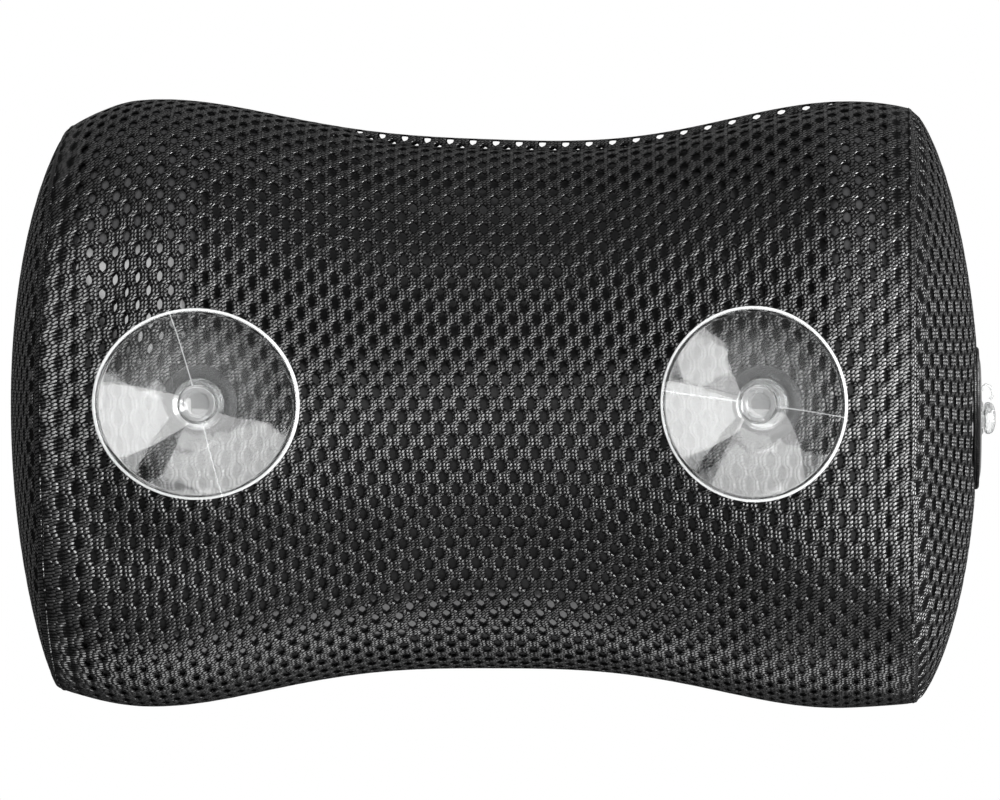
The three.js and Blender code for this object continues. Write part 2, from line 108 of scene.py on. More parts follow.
# %% Sockets as values
class Wire:
    """An output socket, so that shader maths reads as an ordinary expression."""

    def __init__(self, socket):
        self.socket = socket

    def node(self, kind, sockets, output=0, **settings):
        tree = self.socket.id_data
        made = tree.nodes.new(kind)
        for name, value in settings.items():
            setattr(made, name, value)
        for key, value in sockets.items():
            if isinstance(value, Wire):
                tree.links.new(value.socket, made.inputs[key])
            else:
                made.inputs[key].default_value = value
        return Wire(made.outputs[output])

    def output(self, key):
        return Wire(self.socket.node.outputs[key])

    def math(self, operation, *values):
        return self.node("ShaderNodeMath", dict(enumerate(values)), operation=operation)

    def __add__(self, other):
        return self.math("ADD", self, other)

    def __radd__(self, other):
        return self.math("ADD", other, self)

    def __sub__(self, other):
        return self.math("SUBTRACT", self, other)

    def __rsub__(self, other):
        return self.math("SUBTRACT", other, self)

    def __mul__(self, other):
        return self.math("MULTIPLY", self, other)

    def __rmul__(self, other):
        return self.math("MULTIPLY", other, self)

    def __truediv__(self, other):
        return self.math("DIVIDE", self, other)

    def __abs__(self):
        return self.math("ABSOLUTE", self)


# %% [markdown]
# A finish starts from Blender's own principled shader. Some need a second one, such as the dark gaps
# between glossy stitches: a Mix Shader lays it over a share of the first. The other helpers each add
# one node that the finishes use again and again.

# %% Shaders and common nodes
def set_sockets(shader, constants):
    for socket, value in constants.items():
        shader.inputs[socket.replace("_", " ")].default_value = value


def new_finish(name, coordinates, **constants):
    """A material, its shader and the coordinates that its pattern reads."""
    finish = bpy.data.materials.new(name)
    finish.use_nodes = True
    tree = finish.node_tree
    shader = tree.nodes["Principled BSDF"]
    set_sockets(shader, constants)
    place = Wire(tree.nodes.new("ShaderNodeTexCoord").outputs[coordinates])
    return finish, shader, place


def feed(shader, socket, wire):
    shader.id_data.links.new(wire.socket, shader.inputs[socket])


def second_shader(finish, share, **constants):
    """Adds another shader to a material, which covers a share of the first."""
    tree = finish.node_tree
    first = tree.nodes["Principled BSDF"]
    second = tree.nodes.new("ShaderNodeBsdfPrincipled")
    set_sockets(second, constants)
    joined = tree.nodes.new("ShaderNodeMixShader")
    feed(joined, 0, share)
    tree.links.new(first.outputs[0], joined.inputs[1])
    tree.links.new(second.outputs[0], joined.inputs[2])
    tree.links.new(joined.outputs[0], tree.nodes["Material Output"].inputs[0])
    return second


def mix_colours(share, dark, light):
    """Colour between two. The Mix node keeps its colour sockets at these places."""
    factor, first, second, result = 0, 6, 7, 2
    sockets = {factor: share, first: dark, second: light}
    return share.node("ShaderNodeMix", sockets, output=result, data_type="RGBA")


def speckle(place, scale, detail=2.0):
    return place.node("ShaderNodeTexNoise", {"Vector": place, "Scale": scale, "Detail": detail})


def raised(height, strength, distance):
    sockets = {"Height": height, "Strength": strength, "Distance": distance}
    return height.node("ShaderNodeBump", sockets)


def ranged(value, start, end, low=0.0, high=1.0):
    """Goes from low to high while the value goes from start to end."""
    return value.node("ShaderNodeMapRange", {0: value, 1: start, 2: end, 3: low, 4: high})


def parts(place):
    """X of a place. Its outputs 1 and 2 are Y and Z."""
    return place.node("ShaderNodeSeparateXYZ", {0: place})


def attribute(place, name):
    return place.node("ShaderNodeAttribute", {}, output="Fac", attribute_name=name)


# %% [markdown]
# ## Knitted mesh
# The cover is warp knit: chains of stitches run up the cloth in pairs and sway from side to side, so
# that holes open between them. The mesh has the holes, and the material draws the stitches along the
# same swaying chains, from the cloth's own lattice: one unit of U is a hole, one of V a row of holes.

# %% Stitches
STITCHES_PER_ROW = 3.5
GROUND, YARN = (0.003, 0.003, 0.0031, 1), (0.022, 0.022, 0.0225, 1)
DRIFT_SCALE, DRIFT_ACROSS, DRIFT_ALONG = 1.6, 0.06, 0.16
SWAY_STEEPNESS = 1.8
STITCH_SLANT = 0.36
STITCH_FULLNESS, STITCH_EDGE = 1.5, 0.25

knit = {"Base_Color": YARN, "Roughness": 0.3, "IOR": 1.8, "Specular_IOR_Level": 1.0}
mesh_finish, yarn_shader, mesh_place = new_finish("knitted_mesh", "UV", **knit)
opening = attribute(mesh_place, "opening")
sway = opening / 2.0
half_wale = (1.0 - 2.0 * opening) / 8.0
flat = parts(mesh_place)
drift = speckle(mesh_place, DRIFT_SCALE) - 0.5
u = flat + DRIFT_ACROSS * drift
v = flat.output(1) + DRIFT_ALONG * drift
pair = u.math("FLOOR", 2.0 * u)
side = 1.0 - 2.0 * pair.math("FLOORED_MODULO", pair, 2.0)
turn = (v - 0.5) * math.pi
steep = SWAY_STEEPNESS * turn.math("COSINE", turn)
step = steep.node("ShaderNodeClamp", {0: steep, 1: -1.0, 2: 1.0})
lean = side * turn.math("SINE", turn)
off = u - (pair + 0.5) / 2.0 + side * step * sway
hand = off.math("SIGN", off)
across = (abs(off) - half_wale) / half_wale
course = v * STITCHES_PER_ROW + 0.5
along = course.math("FRACT", course) - 0.5
slant = (along - across * hand * STITCH_SLANT) / STITCH_SLANT
yarn = slant.math("MAXIMUM", 1.0 - slant * slant, 0.0)
crown = across.math("MAXIMUM", 1.0 - across * across, 0.0)
rounding = crown.math("MINIMUM", STITCH_EDGE + STITCH_FULLNESS * crown, 1.0)
stitch = yarn.math("MINIMUM", STITCH_FULLNESS * yarn * rounding, 1.0)
print("knitted mesh: stitches per hole", 4 * STITCHES_PER_ROW)

# %% [markdown]
# Each stitch is a bundle of shiny filaments, which gleams more in some patches of the cloth than in
# others. One side of each chain and stitches of one lean also get a larger share, a painted highlight
# of light from one side. The glossy yarn shows in that share, and a dark, dull ground covers the rest.

# %% Gleam, painted side highlight and relief of the yarn
GLEAM, HAND_PAINTED_HIGHLIGHT, LEAN_PAINTED_HIGHLIGHT = 0.68, 0.17, 0.15
FILAMENT_SCALE, FILAMENT_DARK, FILAMENT_PALE = 10.0, 0.36, 0.64
FILAMENT_BASE, FILAMENT_GAIN = 0.15, 1.7
PATCH_SCALE, PATCH_BASE, PATCH_GAIN = 0.35, 0.6, 0.8
YARN_COVER = 1.3
COURSE_TILT, WALE_TILT = 0.8, 0.35
KNIT_RELIEF = 0.0003

patches = speckle(mesh_place, PATCH_SCALE)
filaments = ranged(speckle(mesh_place, FILAMENT_SCALE), FILAMENT_DARK, FILAMENT_PALE)
# The hand and lean terms brighten one side of each chain and one lean of stitch: a painted highlight of
# side light.
yarn_share_and_painted_highlight = stitch * (GLEAM + HAND_PAINTED_HIGHLIGHT * hand + LEAN_PAINTED_HIGHLIGHT * lean)
yarn_share_and_painted_highlight = yarn_share_and_painted_highlight * (FILAMENT_BASE + FILAMENT_GAIN * filaments) * (PATCH_BASE + PATCH_GAIN * patches)
gap = {"Base_Color": GROUND, "Roughness": 0.9, "Specular_IOR_Level": 0.05}
gap_shader = second_shader(mesh_finish, 1.0 - YARN_COVER * yarn_share_and_painted_highlight, **gap)
knit_relief = raised(crown - COURSE_TILT * along - WALE_TILT * across, 1.0, KNIT_RELIEF)
feed(yarn_shader, "Normal", knit_relief)
feed(gap_shader, "Normal", knit_relief)
print("knitted mesh:", len(mesh_finish.node_tree.nodes), "nodes")

# %% [markdown]
# ## Bladder vinyl
# The bladder is black vinyl film. Where it is blown tight it is glossy, a little cloudy and finely
# grained. Elsewhere, wrinkles too fine to model make it dull, and high up the dull film's colour is
# lightened, a painted light. The film's own slackness, kept at its vertices, says how much of the dull
# shader covers the glossy one.

# %% Bladder vinyl
VINYL = {"IOR": 1.7, "Coat_Weight": 1.0, "Coat_IOR": 2.0, "Coat_Roughness": 0.08}
CLOUD_SCALE, CLOUD_DETAIL = 40.0, 3.0
CLOUD_DARK, CLOUD_PALE = (0.013, 0.013, 0.0134, 1), (0.02, 0.02, 0.0207, 1)
FILM_ROUGHNESS, CLOUD_ROUGHNESS = 0.12, 0.12
GRAIN_SCALE, GRAIN_STRENGTH, GRAIN_HEIGHT = 130.0, 0.15, 0.0006
DULL_SHARE = 0.97
DULL_DARK, DULL_PAINTED_LIGHT = (0.010, 0.010, 0.0103, 1), (0.036, 0.036, 0.037, 1)
PAINTED_LIGHT_FOOT, PAINTED_LIGHT_HEAD = 0.030, 0.046

bladder_finish, film_shader, film_place = new_finish("bladder_vinyl", "Object", **VINYL)
cloud = speckle(film_place, CLOUD_SCALE, CLOUD_DETAIL)
grain = speckle(film_place, GRAIN_SCALE)
feed(film_shader, "Base Color", mix_colours(cloud, CLOUD_DARK, CLOUD_PALE))
feed(film_shader, "Roughness", FILM_ROUGHNESS + CLOUD_ROUGHNESS * cloud)
feed(film_shader, "Normal", raised(grain, GRAIN_STRENGTH, GRAIN_HEIGHT))
dull = DULL_SHARE * attribute(film_place, "slackness")
slack_shader = second_shader(bladder_finish, dull, Roughness=0.7, Specular_IOR_Level=0.2)
# From 30 to 46 mm up, the dull film's colour is lightened: painted light, not a paler vinyl.
painted_top_light = ranged(parts(film_place).output(2), PAINTED_LIGHT_FOOT, PAINTED_LIGHT_HEAD)
feed(slack_shader, "Base Color", mix_colours(painted_top_light, DULL_DARK, DULL_PAINTED_LIGHT))
print("bladder vinyl:", len(bladder_finish.node_tree.nodes), "nodes")

# %% [markdown]
# ## Clear vinyl
# The cups, the valve and its stopper are clear vinyl with a slight haze and a fine unevenness from the
# mould. A cup is milkier round its button and its lip and along the line where the mould parted, and a
# faint milky veil over the inner part of its hollow is a painted reflection. Its UV map is the place on
# its face in millimetres, so that these places turn with the cup.

# %% Clear vinyl
CLEAR = {
    "Base_Color": (0.97, 0.98, 0.98, 1), "Transmission_Weight": 1.0, "IOR": 1.55,
    "Coat_Weight": 0.7, "Coat_IOR": 1.6, "Coat_Roughness": 0.04,
}
HAZE_SCALE, HAZE_DETAIL, HAZE_BASE, HAZE_GAIN = 0.12, 3.0, 0.03, 0.06
MOULD_SCALE, MOULD_DETAIL, MOULD_STRENGTH, MOULD_HEIGHT = 0.11, 1.0, 0.1, 0.0016

cup_finish, cup_shader, cup_place = new_finish("clear_vinyl", "UV", **CLEAR)
feed(cup_shader, "Roughness", HAZE_BASE + HAZE_GAIN * speckle(cup_place, HAZE_SCALE, HAZE_DETAIL))
mould_waves = speckle(cup_place, MOULD_SCALE, MOULD_DETAIL)
feed(cup_shader, "Normal", raised(mould_waves, MOULD_STRENGTH, MOULD_HEIGHT))

# %% Milky places
MILKY = {"Base_Color": (0.80, 0.81, 0.81, 1), "Roughness": 0.22, "Coat_Weight": 0.6}
BUTTON_START, BUTTON_END, BUTTON_CLOUD = 4.6, 4.95, 0.2
LIP_START, LIP_END, LIP_CLOUD = 26.5, 26.9, 0.6
PAINTED_VEIL_START, PAINTED_VEIL_END, PAINTED_VEIL_SHARE = 15.0, 23.0, 0.06
PARTING_CLOUD, PARTING_SHARPNESS, PARTING_START = 0.45, 1.9, 5.0

cup_right = parts(cup_place)
cup_up = cup_right.output(1)
cup_radius = cup_right.math("SQRT", cup_right * cup_right + cup_up * cup_up)
button_cloud = ranged(cup_radius, BUTTON_START, BUTTON_END, BUTTON_CLOUD, 0.0)
lip_cloud = ranged(cup_radius, LIP_START, LIP_END, 0.0, LIP_CLOUD)
parting = cup_right.math("MAXIMUM", PARTING_CLOUD - abs(cup_right) * PARTING_SHARPNESS, 0.0)
parting = parting * cup_radius.math("GREATER_THAN", cup_radius, PARTING_START)
# A faint milky veil within 15 to 23 mm of the axis stands in for a reflection: a painted reflection.
painted_reflection_veil = ranged(cup_radius, PAINTED_VEIL_START, PAINTED_VEIL_END, PAINTED_VEIL_SHARE, 0.0)
second_shader(cup_finish, button_cloud + lip_cloud + parting + painted_reflection_veil, **MILKY)
print("clear vinyl:", len(cup_finish.node_tree.nodes), "nodes")

# %% [markdown]
# ## Eyelet moulding
# The eyelets are small dark mouldings with a satin skin, so plain plastic with an uneven gloss will do.

# %% Eyelet moulding
EYELET = {"Base_Color": (0.012, 0.012, 0.013, 1), "IOR": 1.48}
SATIN_SCALE, SATIN_BASE, SATIN_GAIN = 160.0, 0.18, 0.2

eyelet_finish, eyelet_shader, eyelet_place = new_finish("eyelet_moulding", "Object", **EYELET)
feed(eyelet_shader, "Roughness", SATIN_BASE + SATIN_GAIN * speckle(eyelet_place, SATIN_SCALE))
print("finishes:", sorted(material.name for material in bpy.data.materials))

# %% [markdown]
# ## The roll
# Every soft piece follows one form, so it is written down once, in millimetres. Along its length the
# roll swells from the waist to a lobe near each end, and across it is an oval, higher than it is deep,
# with fuller corners on the lobes. A point of its skin is given by x and an angle: 0 is the middle of
# the back, a quarter turn up is the top.

# %% Length and section of the roll
LOBE_X = 97.0
WAIST_FLATNESS = 1.45
WAIST_HALF_HEIGHT, LOBE_HALF_HEIGHT = 75.0, 86.0
WAIST_HALF_DEPTH, LOBE_HALF_DEPTH = 62.0, 72.0
OVAL = 2.0
LOBE_SQUARENESS = 0.35
RIGHT_SQUARENESS = 0.5

wrap_low, wrap_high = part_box("cover_wrap_panel")
WRAP_END = wrap_high.x / MM
ROLL_Y = (wrap_low.y + wrap_high.y) / 2 / MM
CUP_X = joints["right_cup_spin"]["pos_m"][0] / MM


def clamped(share):
    return min(1.0, max(0.0, share))


def eased(share):
    share = clamped(share)
    return share * share * (3 - 2 * share)


def bell(off, length):
    return math.exp(-((off / length) ** 2))


def swell(x):
    return math.sin(math.pi / 2 * (abs(x) / LOBE_X) ** WAIST_FLATNESS) ** 2


def half_height(x):
    return WAIST_HALF_HEIGHT + (LOBE_HALF_HEIGHT - WAIST_HALF_HEIGHT) * swell(x)


def half_depth(x):
    return WAIST_HALF_DEPTH + (LOBE_HALF_DEPTH - WAIST_HALF_DEPTH) * swell(x)


def squareness(x, angle):
    """Exponent of the section: 2 is an oval, and more fills out its corners."""
    low_right = max(0.0, x / LOBE_X) ** 2 * max(0.0, -math.sin(angle))
    return OVAL + LOBE_SQUARENESS * swell(x) + RIGHT_SQUARENESS * low_right


def corner_fill(x, angle):
    """How far the section stands out beyond an oval."""
    n = squareness(x, angle)
    return (abs(math.cos(angle)) ** n + abs(math.sin(angle)) ** n) ** (-1 / n)


print("roll axis at y", round(ROLL_Y, 2), "mm, wrap ends at", round(WRAP_END, 2), "mm")

# %% [markdown]
# Air and cloth are never quite even. A fold runs along the foot of the back, a hollow lies above the
# left cup, low waves go all over, and beside the crest the cloth dips, so that the top row of holes
# stands up against the light. Cloth simulation could make such forms, but not in the places where the
# photograph has them, so each is a formula. Round the eyelets and at the seams the cloth stays put.

# %% Fold, hollow, crest and waves
FOLD_DEPTH = 3.7
FOLD_WIDTH = 15.0
FOLD_START_Z, FOLD_END_Z = -42.0, -64.0
FOLD_PEAK, FOLD_PEAK_X, FOLD_PEAK_LENGTH = 10.0, 4.0, 42.0
HOLLOW_DEPTH = 3.5
HOLLOW_X, HOLLOW_Z = -106.0, 34.0
HOLLOW_HALF_WIDTH, HOLLOW_HALF_HEIGHT = 13.0, 26.0
CREST_SAG = 2.2
CREST_TOP = 2.4
CREST_FLANK = 4.0
CREST_FOOT, CREST_FADE = 8.0, 24.0
CREST_MIDDLE_X = 28.0
CREST_HALF_LENGTH = 72.0
CREST_END_STEEPNESS = 3.0
WAVE_HEIGHT, WAVE_MEAN = 0.9, 0.6
WAVE_LENGTH, WAVES_ROUND, WAVE_START = 48.0, 1.7, 4.0
EYELET_CALM_RADIUS, EYELET_CALM_FADE = 16.0, 24.0
SEAM_CALM_FADE = 12.0
CREST_CALM_FADE = 24.0


def fold_and_hollow(x, angle):
    """Depth of the fold and of the hollow, which lie on the back alone."""
    z, facing = half_height(x) * math.sin(angle), math.cos(angle)
    fold_z = FOLD_START_Z + (FOLD_END_Z - FOLD_START_Z) * (x + LOBE_X) / (2 * LOBE_X)
    fold_z += FOLD_PEAK * bell(x - FOLD_PEAK_X, FOLD_PEAK_LENGTH)
    fold = FOLD_DEPTH * bell(z - fold_z, FOLD_WIDTH) * max(0.0, facing)
    hollow = bell(x - HOLLOW_X, HOLLOW_HALF_WIDTH) * bell(z - HOLLOW_Z, HOLLOW_HALF_HEIGHT)
    return fold + HOLLOW_DEPTH * hollow * (facing > 0)


def crest_dip(x, angle):
    """Depth of the dip on either side of the crest."""
    down = abs(angle - math.pi / 2) * half_depth(x)
    ridge = clamped((down - CREST_TOP) / CREST_FLANK)
    ridge *= 1.0 - clamped((down - CREST_FOOT) / CREST_FADE)
    along = max(0.0, 1.0 - ((x - CREST_MIDDLE_X) / CREST_HALF_LENGTH) ** 2)
    return CREST_SAG * ridge * min(1.0, CREST_END_STEEPNESS * along)


def calm_share(x, angle):
    """Share of fold, hollow and waves: none at the eyelets, at the end seams and along the crest."""
    z, facing = half_height(x) * math.sin(angle), math.cos(angle)
    near = min(math.hypot(x - side * CUP_X, z) for side in (-1, 1)) if facing > 0 else math.inf
    eyelet = clamped((near - EYELET_CALM_RADIUS) / EYELET_CALM_FADE)
    seam = clamped((WRAP_END - abs(x)) / SEAM_CALM_FADE)
    return eyelet * seam * min(1.0, abs(facing) * half_depth(x) / CREST_CALM_FADE)


def soft_dent(x, angle):
    """How far the cloth and the bladder under it give way."""
    across, up = WAVES_ROUND * math.cos(angle), WAVES_ROUND * math.sin(angle) + WAVE_START
    waves = WAVE_HEIGHT * (WAVE_MEAN + noise.noise(Vector((x / WAVE_LENGTH, across, up))))
    return (waves + fold_and_hollow(x, angle)) * calm_share(x, angle) + crest_dip(x, angle)


print("fold at the waist:", round(soft_dent(0.0, math.radians(-45)), 2), "mm deep")

# %% [markdown]
# The two ends don't sit alike. The left seam stands further out, and its top corner is drawn in. On
# the right, the foot hangs lower and the dome sags a little, apart from round the valve.

# %% Ends as they sit
SHOULDER_X = 100.0
SEAM_X = 116.5
PANEL_EDGE_X = 117.2
END_BASE_X = 118.0
END_BULGE = 19.0
LEFT_SEAM_SHIFT = 5.0
LEFT_TOP_DRAW = 3.0
LEFT_APEX_DRAW = 0.7
LEFT_TOP_DROP = 0.06
LEFT_FOOT_RISE = 0.03
RIGHT_FOOT_OUT = 1.4
RIGHT_FOOT_DROP = 0.8
RIGHT_SAG = 3.4
RIGHT_CALM_RADIUS = 30.0


def settled(point):
    """Moves a point of an end from its even form to where it sits."""
    out = abs(point.x) - SHOULDER_X
    if out > 0:
        turn = min(1.0, out / (END_BASE_X - SHOULDER_X)) ** 2
        dome = max(0.0, abs(point.x) - END_BASE_X) / END_BULGE
        up = point.z / LOBE_HALF_HEIGHT
        if point.x < 0:
            shift = LEFT_SEAM_SHIFT - LEFT_TOP_DRAW * max(0.0, up) ** 2
            point.x -= shift * turn - dome * (shift + LEFT_APEX_DRAW)
            point.z *= 1 - (LEFT_TOP_DROP if up > 0 else LEFT_FOOT_RISE) * turn
        else:
            hang = min(0.0, up) ** 2 * turn
            point.x += RIGHT_FOOT_OUT * hang
            sag = RIGHT_SAG * dome ** 2
            off_axis = math.hypot(point.y - ROLL_Y, point.z)
            point.z -= RIGHT_FOOT_DROP * hang + sag * (1 - bell(off_axis, RIGHT_CALM_RADIUS))
    return point


print("ends bulge", END_BULGE, "mm from x", END_BASE_X)

# %% [markdown]
# Now any point can be asked for. A point of the wrap has a place along and an angle, and one of an end
# has a place across and up, in shares of the end's half depth and half height. The left end is a full
# dome. The right one is straighter from front to back, as a cone is.

# %% Points of the skin
TOP_SKEW = 1.3
TOP_SKEW_LENGTH = 110.0
LEFT_FULLNESS, RIGHT_FULLNESS = 1.68, 1.36
CONE_SHARE = 0.5
CONE_BLUNTNESS = 0.3


def on_roll(x, angle, inset=0.0):
    """Point of the skin, so far under the outside of the cover."""
    inset += soft_dent(x, angle)
    across, up, full = math.cos(angle), math.sin(angle), corner_fill(x, angle)
    y = ROLL_Y - (half_depth(x) - inset) * across * full
    z = (half_height(x) - inset) * up * full
    if abs(x) < TOP_SKEW_LENGTH:
        z -= TOP_SKEW * math.sin(math.pi * x / TOP_SKEW_LENGTH) * max(0.0, up) ** 3
    return settled(Vector((x, y, z)))


def end_rise(side, across, up):
    """Share of an end's bulge at a place off its middle."""
    reach = min(1.0, across ** 2 + up ** 2)
    dome = (1.0 - reach) ** ((RIGHT_FULLNESS if side > 0 else LEFT_FULLNESS) / 2)
    if side < 0 or reach == 0:
        return dome
    cone_edge = math.hypot(1.0, CONE_BLUNTNESS) - CONE_BLUNTNESS
    cone = 1.0 - (math.sqrt(reach + CONE_BLUNTNESS ** 2) - CONE_BLUNTNESS) / cone_edge
    return dome + CONE_SHARE * across ** 2 / reach * (cone - dome)


def end_corner(side, across, up):
    """How far a place on an end moves out, so that its edge follows the corners of the wrap."""
    corner = corner_fill(side * SEAM_X, math.atan2(up, -across))
    return 1.0 + (corner - 1.0) * min(1.0, across ** 2 + up ** 2)


def on_end(side, across, up, inset=0.0):
    """Point of an end panel, so far under the outside of the cover."""
    bulge = (END_BULGE + END_BASE_X - PANEL_EDGE_X) * end_rise(side, across, up) - inset
    out = end_corner(side, across, up)
    y, z = across * out * half_depth(SEAM_X), up * out * half_height(SEAM_X)
    return settled(Vector((side * (PANEL_EDGE_X + bulge), ROLL_Y + y, z)))


print("ends reach x", [round(on_end(side, 0.0, 0.0).x, 1) for side in (-1, 1)], "mm")

# %% [markdown]
# ## From mesh code to a piece
# A bmesh is worked on in millimetres, then scaled to metres and given to an object at the origin,
# which rides on a body of the frame, and the solid it stands for is hidden. Cloth and film are modelled
# as sheets, turned to face outwards, and thickened by a modifier.

# %% Making a piece
def make_piece(name, form, finish):
    bmesh.ops.scale(form, vec=(MM, MM, MM), verts=form.verts)
    for face in form.faces:
        face.smooth = True
    mesh = bpy.data.meshes.new(name)
    form.to_mesh(mesh)
    form.free()
    mesh.materials.append(finish)
    print(f"{name}: {len(mesh.polygons)} faces")
    return add_object(name, mesh)


def seat(made, body, slot, *nodes):
    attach(made, body)
    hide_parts(*nodes)
    return made


def face_outwards(sheet):
    sheet.normal_update()
    middle = Vector((0, ROLL_Y, 0))
    if sum(face.normal.dot(face.calc_center_median() - middle) for face in sheet.faces) < 0:
        bmesh.ops.reverse_faces(sheet, faces=sheet.faces)


def thicken(made, thickness, offset=-1.0):
    """Gives a sheet its thickness: inwards, or with an offset of 0 to both sides."""
    wall = made.modifiers.new("wall", "SOLIDIFY")
    wall.thickness = thickness * MM
    wall.offset = offset
    wall.use_rim = True
    return made


# %% [markdown]
# ## Mesh cloth
# The cover's holes show the bladder, and along the crest they show the light behind, so they are real
# openings. A grid whose rows are laid like bricks gives one six-sided cell for each hole: alternate
# upright edges are dissolved, and the joints are shifted until the cells are a honeycomb. Each cell is
# inset, its inner face is drawn to an oval and taken out. Later the yarn between the holes is set a
# little higher than their edges, as it bundles there.

# %% Cells
HONEYCOMB_SHIFT = 0.2
UPRIGHT_SLACK = 0.1


def brick_cells(columns, rows):
    """Flat sheet of cells, a hole's pitch wide and a row high, laid like bricks."""
    cloth = bmesh.new()
    bmesh.ops.create_grid(cloth, x_segments=2 * columns, y_segments=rows, size=0.5)
    bmesh.ops.scale(cloth, vec=(columns, rows, 1), verts=cloth.verts)
    bmesh.ops.translate(cloth, vec=(columns / 2, rows / 2, 0), verts=cloth.verts)
    joints_between = []
    for edge in cloth.edges:
        low = min(vert.co.y for vert in edge.verts)
        upright = abs(edge.verts[0].co.x - edge.verts[1].co.x) < UPRIGHT_SLACK
        if upright and not edge.is_boundary and round(2 * edge.verts[0].co.x + low) % 2:
            joints_between.append(edge)
    bmesh.ops.dissolve_edges(cloth, edges=joints_between)
    for vert in cloth.verts:
        if not vert.is_boundary:
            odd = round(2 * vert.co.x + vert.co.y) % 2
            vert.co.y += -HONEYCOMB_SHIFT if odd else HONEYCOMB_SHIFT
    bmesh.ops.bisect_edges(cloth, edges=cloth.edges[:], cuts=1)
    return cloth


# %% Holes
FIRST_INSET = 0.1
HOLE_EDGE = 0.015


def open_holes(cloth, size_at):
    """Opens an oval in each whole cell, of the half width and half height that size_at(u, v) gives."""
    layer = cloth.verts.layers.float.new("opening")
    centres, shut = {}, []
    for face in cloth.faces:
        middle = face.calc_center_median()
        width, high = size_at(middle.x, middle.y)
        for vert in face.verts:
            vert[layer] = width
        if width > 0 and not any(vert.is_boundary for vert in face.verts):
            centres[face] = (middle, width, high)
        elif width == 0:
            shut.append(face)
    for face in shut:
        for vert in face.verts:
            vert[layer] = 0.0
    bmesh.ops.inset_individual(cloth, faces=list(centres), thickness=FIRST_INSET)
    for face, (middle, width, high) in centres.items():
        wide = width - HOLE_EDGE
        for vert in face.verts:
            off = vert.co - middle
            turn = math.atan2(off.y / high, off.x / wide)
            vert.co.x = middle.x + wide * math.cos(turn)
            vert.co.y = middle.y + high * math.sin(turn)
            vert[layer] = width
    bmesh.ops.delete(cloth, geom=list(centres), context="FACES_ONLY")
    for edge in cloth.edges:
        edge.smooth = not edge.is_boundary
    print("holes opened:", len(centres))


# %% Lattice and round openings
def keep_lattice(cloth):
    """Stores the flat lattice as UV, for the stitches."""
    layer = cloth.loops.layers.uv.new("lattice")
    for face in cloth.faces:
        for loop in face.loops:
            loop[layer].uv = loop.vert.co.xy


def off_point(place, centre, size):
    """Distance of a place on the lattice from another, in millimetres."""
    return Vector(((place.x - centre[0]) * size[0], (place.y - centre[1]) * size[1]))


def cut_round(cloth, size, centre, radius):
    """Takes out the cells round a point of the lattice and draws their edge to a circle."""
    inside = [
        face for face in cloth.faces
        if off_point(face.calc_center_median(), centre, size).length < radius
    ]
    rim = {vert for face in inside for vert in face.verts}
    bmesh.ops.delete(cloth, geom=inside, context="FACES")
    for vert in rim:
        if vert.is_valid:
            place = off_point(vert.co, centre, size)
            place *= radius / place.length
            vert.co.x = centre[0] + place.x / size[0]
            vert.co.y = centre[1] + place.y / size[1]


# %% [markdown]
# ## Wrap panel
# One piece of mesh cloth goes round the roll, from a seam along the bottom over the back, the top and
# the front. The cloth keeps its count of rows everywhere, so the rows crowd at the waist and spread on
# the lobes, as stretched cloth does. Each stem of a suction cup passes through a round hole in it.

# %% Holes of the wrap
WRAP_EDGE = 117.0
WRAP_COLUMNS, WRAP_ROWS = 36, 124
OVAL_EVENNESS = 0.047
LOBE_OPENING = 0.13
WAIST_WIDENING, WAIST_STRETCH, WAIST_LENGTH = 0.06, 0.12, 62.0
UPPER_WIDENING = 0.055
UPPER_START, UPPER_END = 20.0, 60.0
EDGE_OPENING, EDGE_LENGTH = 0.7, 16.0
HOLE_HALF_HEIGHT = 0.44
EYELET_COVER_RADIUS = 9.0
CREST_HALF_ROW = 0.6
CUP_ROW_HEIGHT = 3.9

column_width = 2 * WRAP_EDGE / WRAP_COLUMNS
cup_cell = (column_width, CUP_ROW_HEIGHT)
cup_columns = [WRAP_COLUMNS / 2 + side * CUP_X / column_width for side in (-1, 1)]
back_row, top_row = WRAP_ROWS / 4 + 0.5, WRAP_ROWS / 2 + 0.5


def wrap_angle(row):
    even = 2 * math.pi * (row - 0.5) / WRAP_ROWS - math.pi / 2
    return even - OVAL_EVENNESS * math.sin(2 * even)


def wrap_opening(u, v):
    """Half the size of a hole: larger at the waist and the top, none at eyelets and on the crest."""
    x = u * column_width - WRAP_EDGE
    for column in cup_columns:
        if off_point(Vector((u, v)), (column, back_row), cup_cell).length < EYELET_COVER_RADIUS:
            return 0.0, 0.0
    if abs(v - top_row) < CREST_HALF_ROW and abs(x - CREST_MIDDLE_X) < CREST_HALF_LENGTH:
        return 0.0, 0.0
    edge = min(1.0, (WRAP_EDGE - abs(x)) / EDGE_LENGTH)
    waist = bell(x, WAIST_LENGTH)
    z = half_height(x) * math.sin(wrap_angle(v))
    upper = eased((z - UPPER_START) / (UPPER_END - UPPER_START))
    wide = LOBE_OPENING + max(WAIST_WIDENING * waist, UPPER_WIDENING * upper)
    wide *= EDGE_OPENING + (1.0 - EDGE_OPENING) * edge
    return wide, HOLE_HALF_HEIGHT + WAIST_STRETCH * waist


waist_hole = wrap_opening(WRAP_COLUMNS / 2, back_row)
print("half size of a hole at the waist:", [round(x, 3) for x in waist_hole])

# %% Wrap panel
WALE_LEAN = 0.08
STEM_HOLE_RADIUS = 5.9
CLOTH_THICKNESS = 0.4
YARN_RISE = 0.05

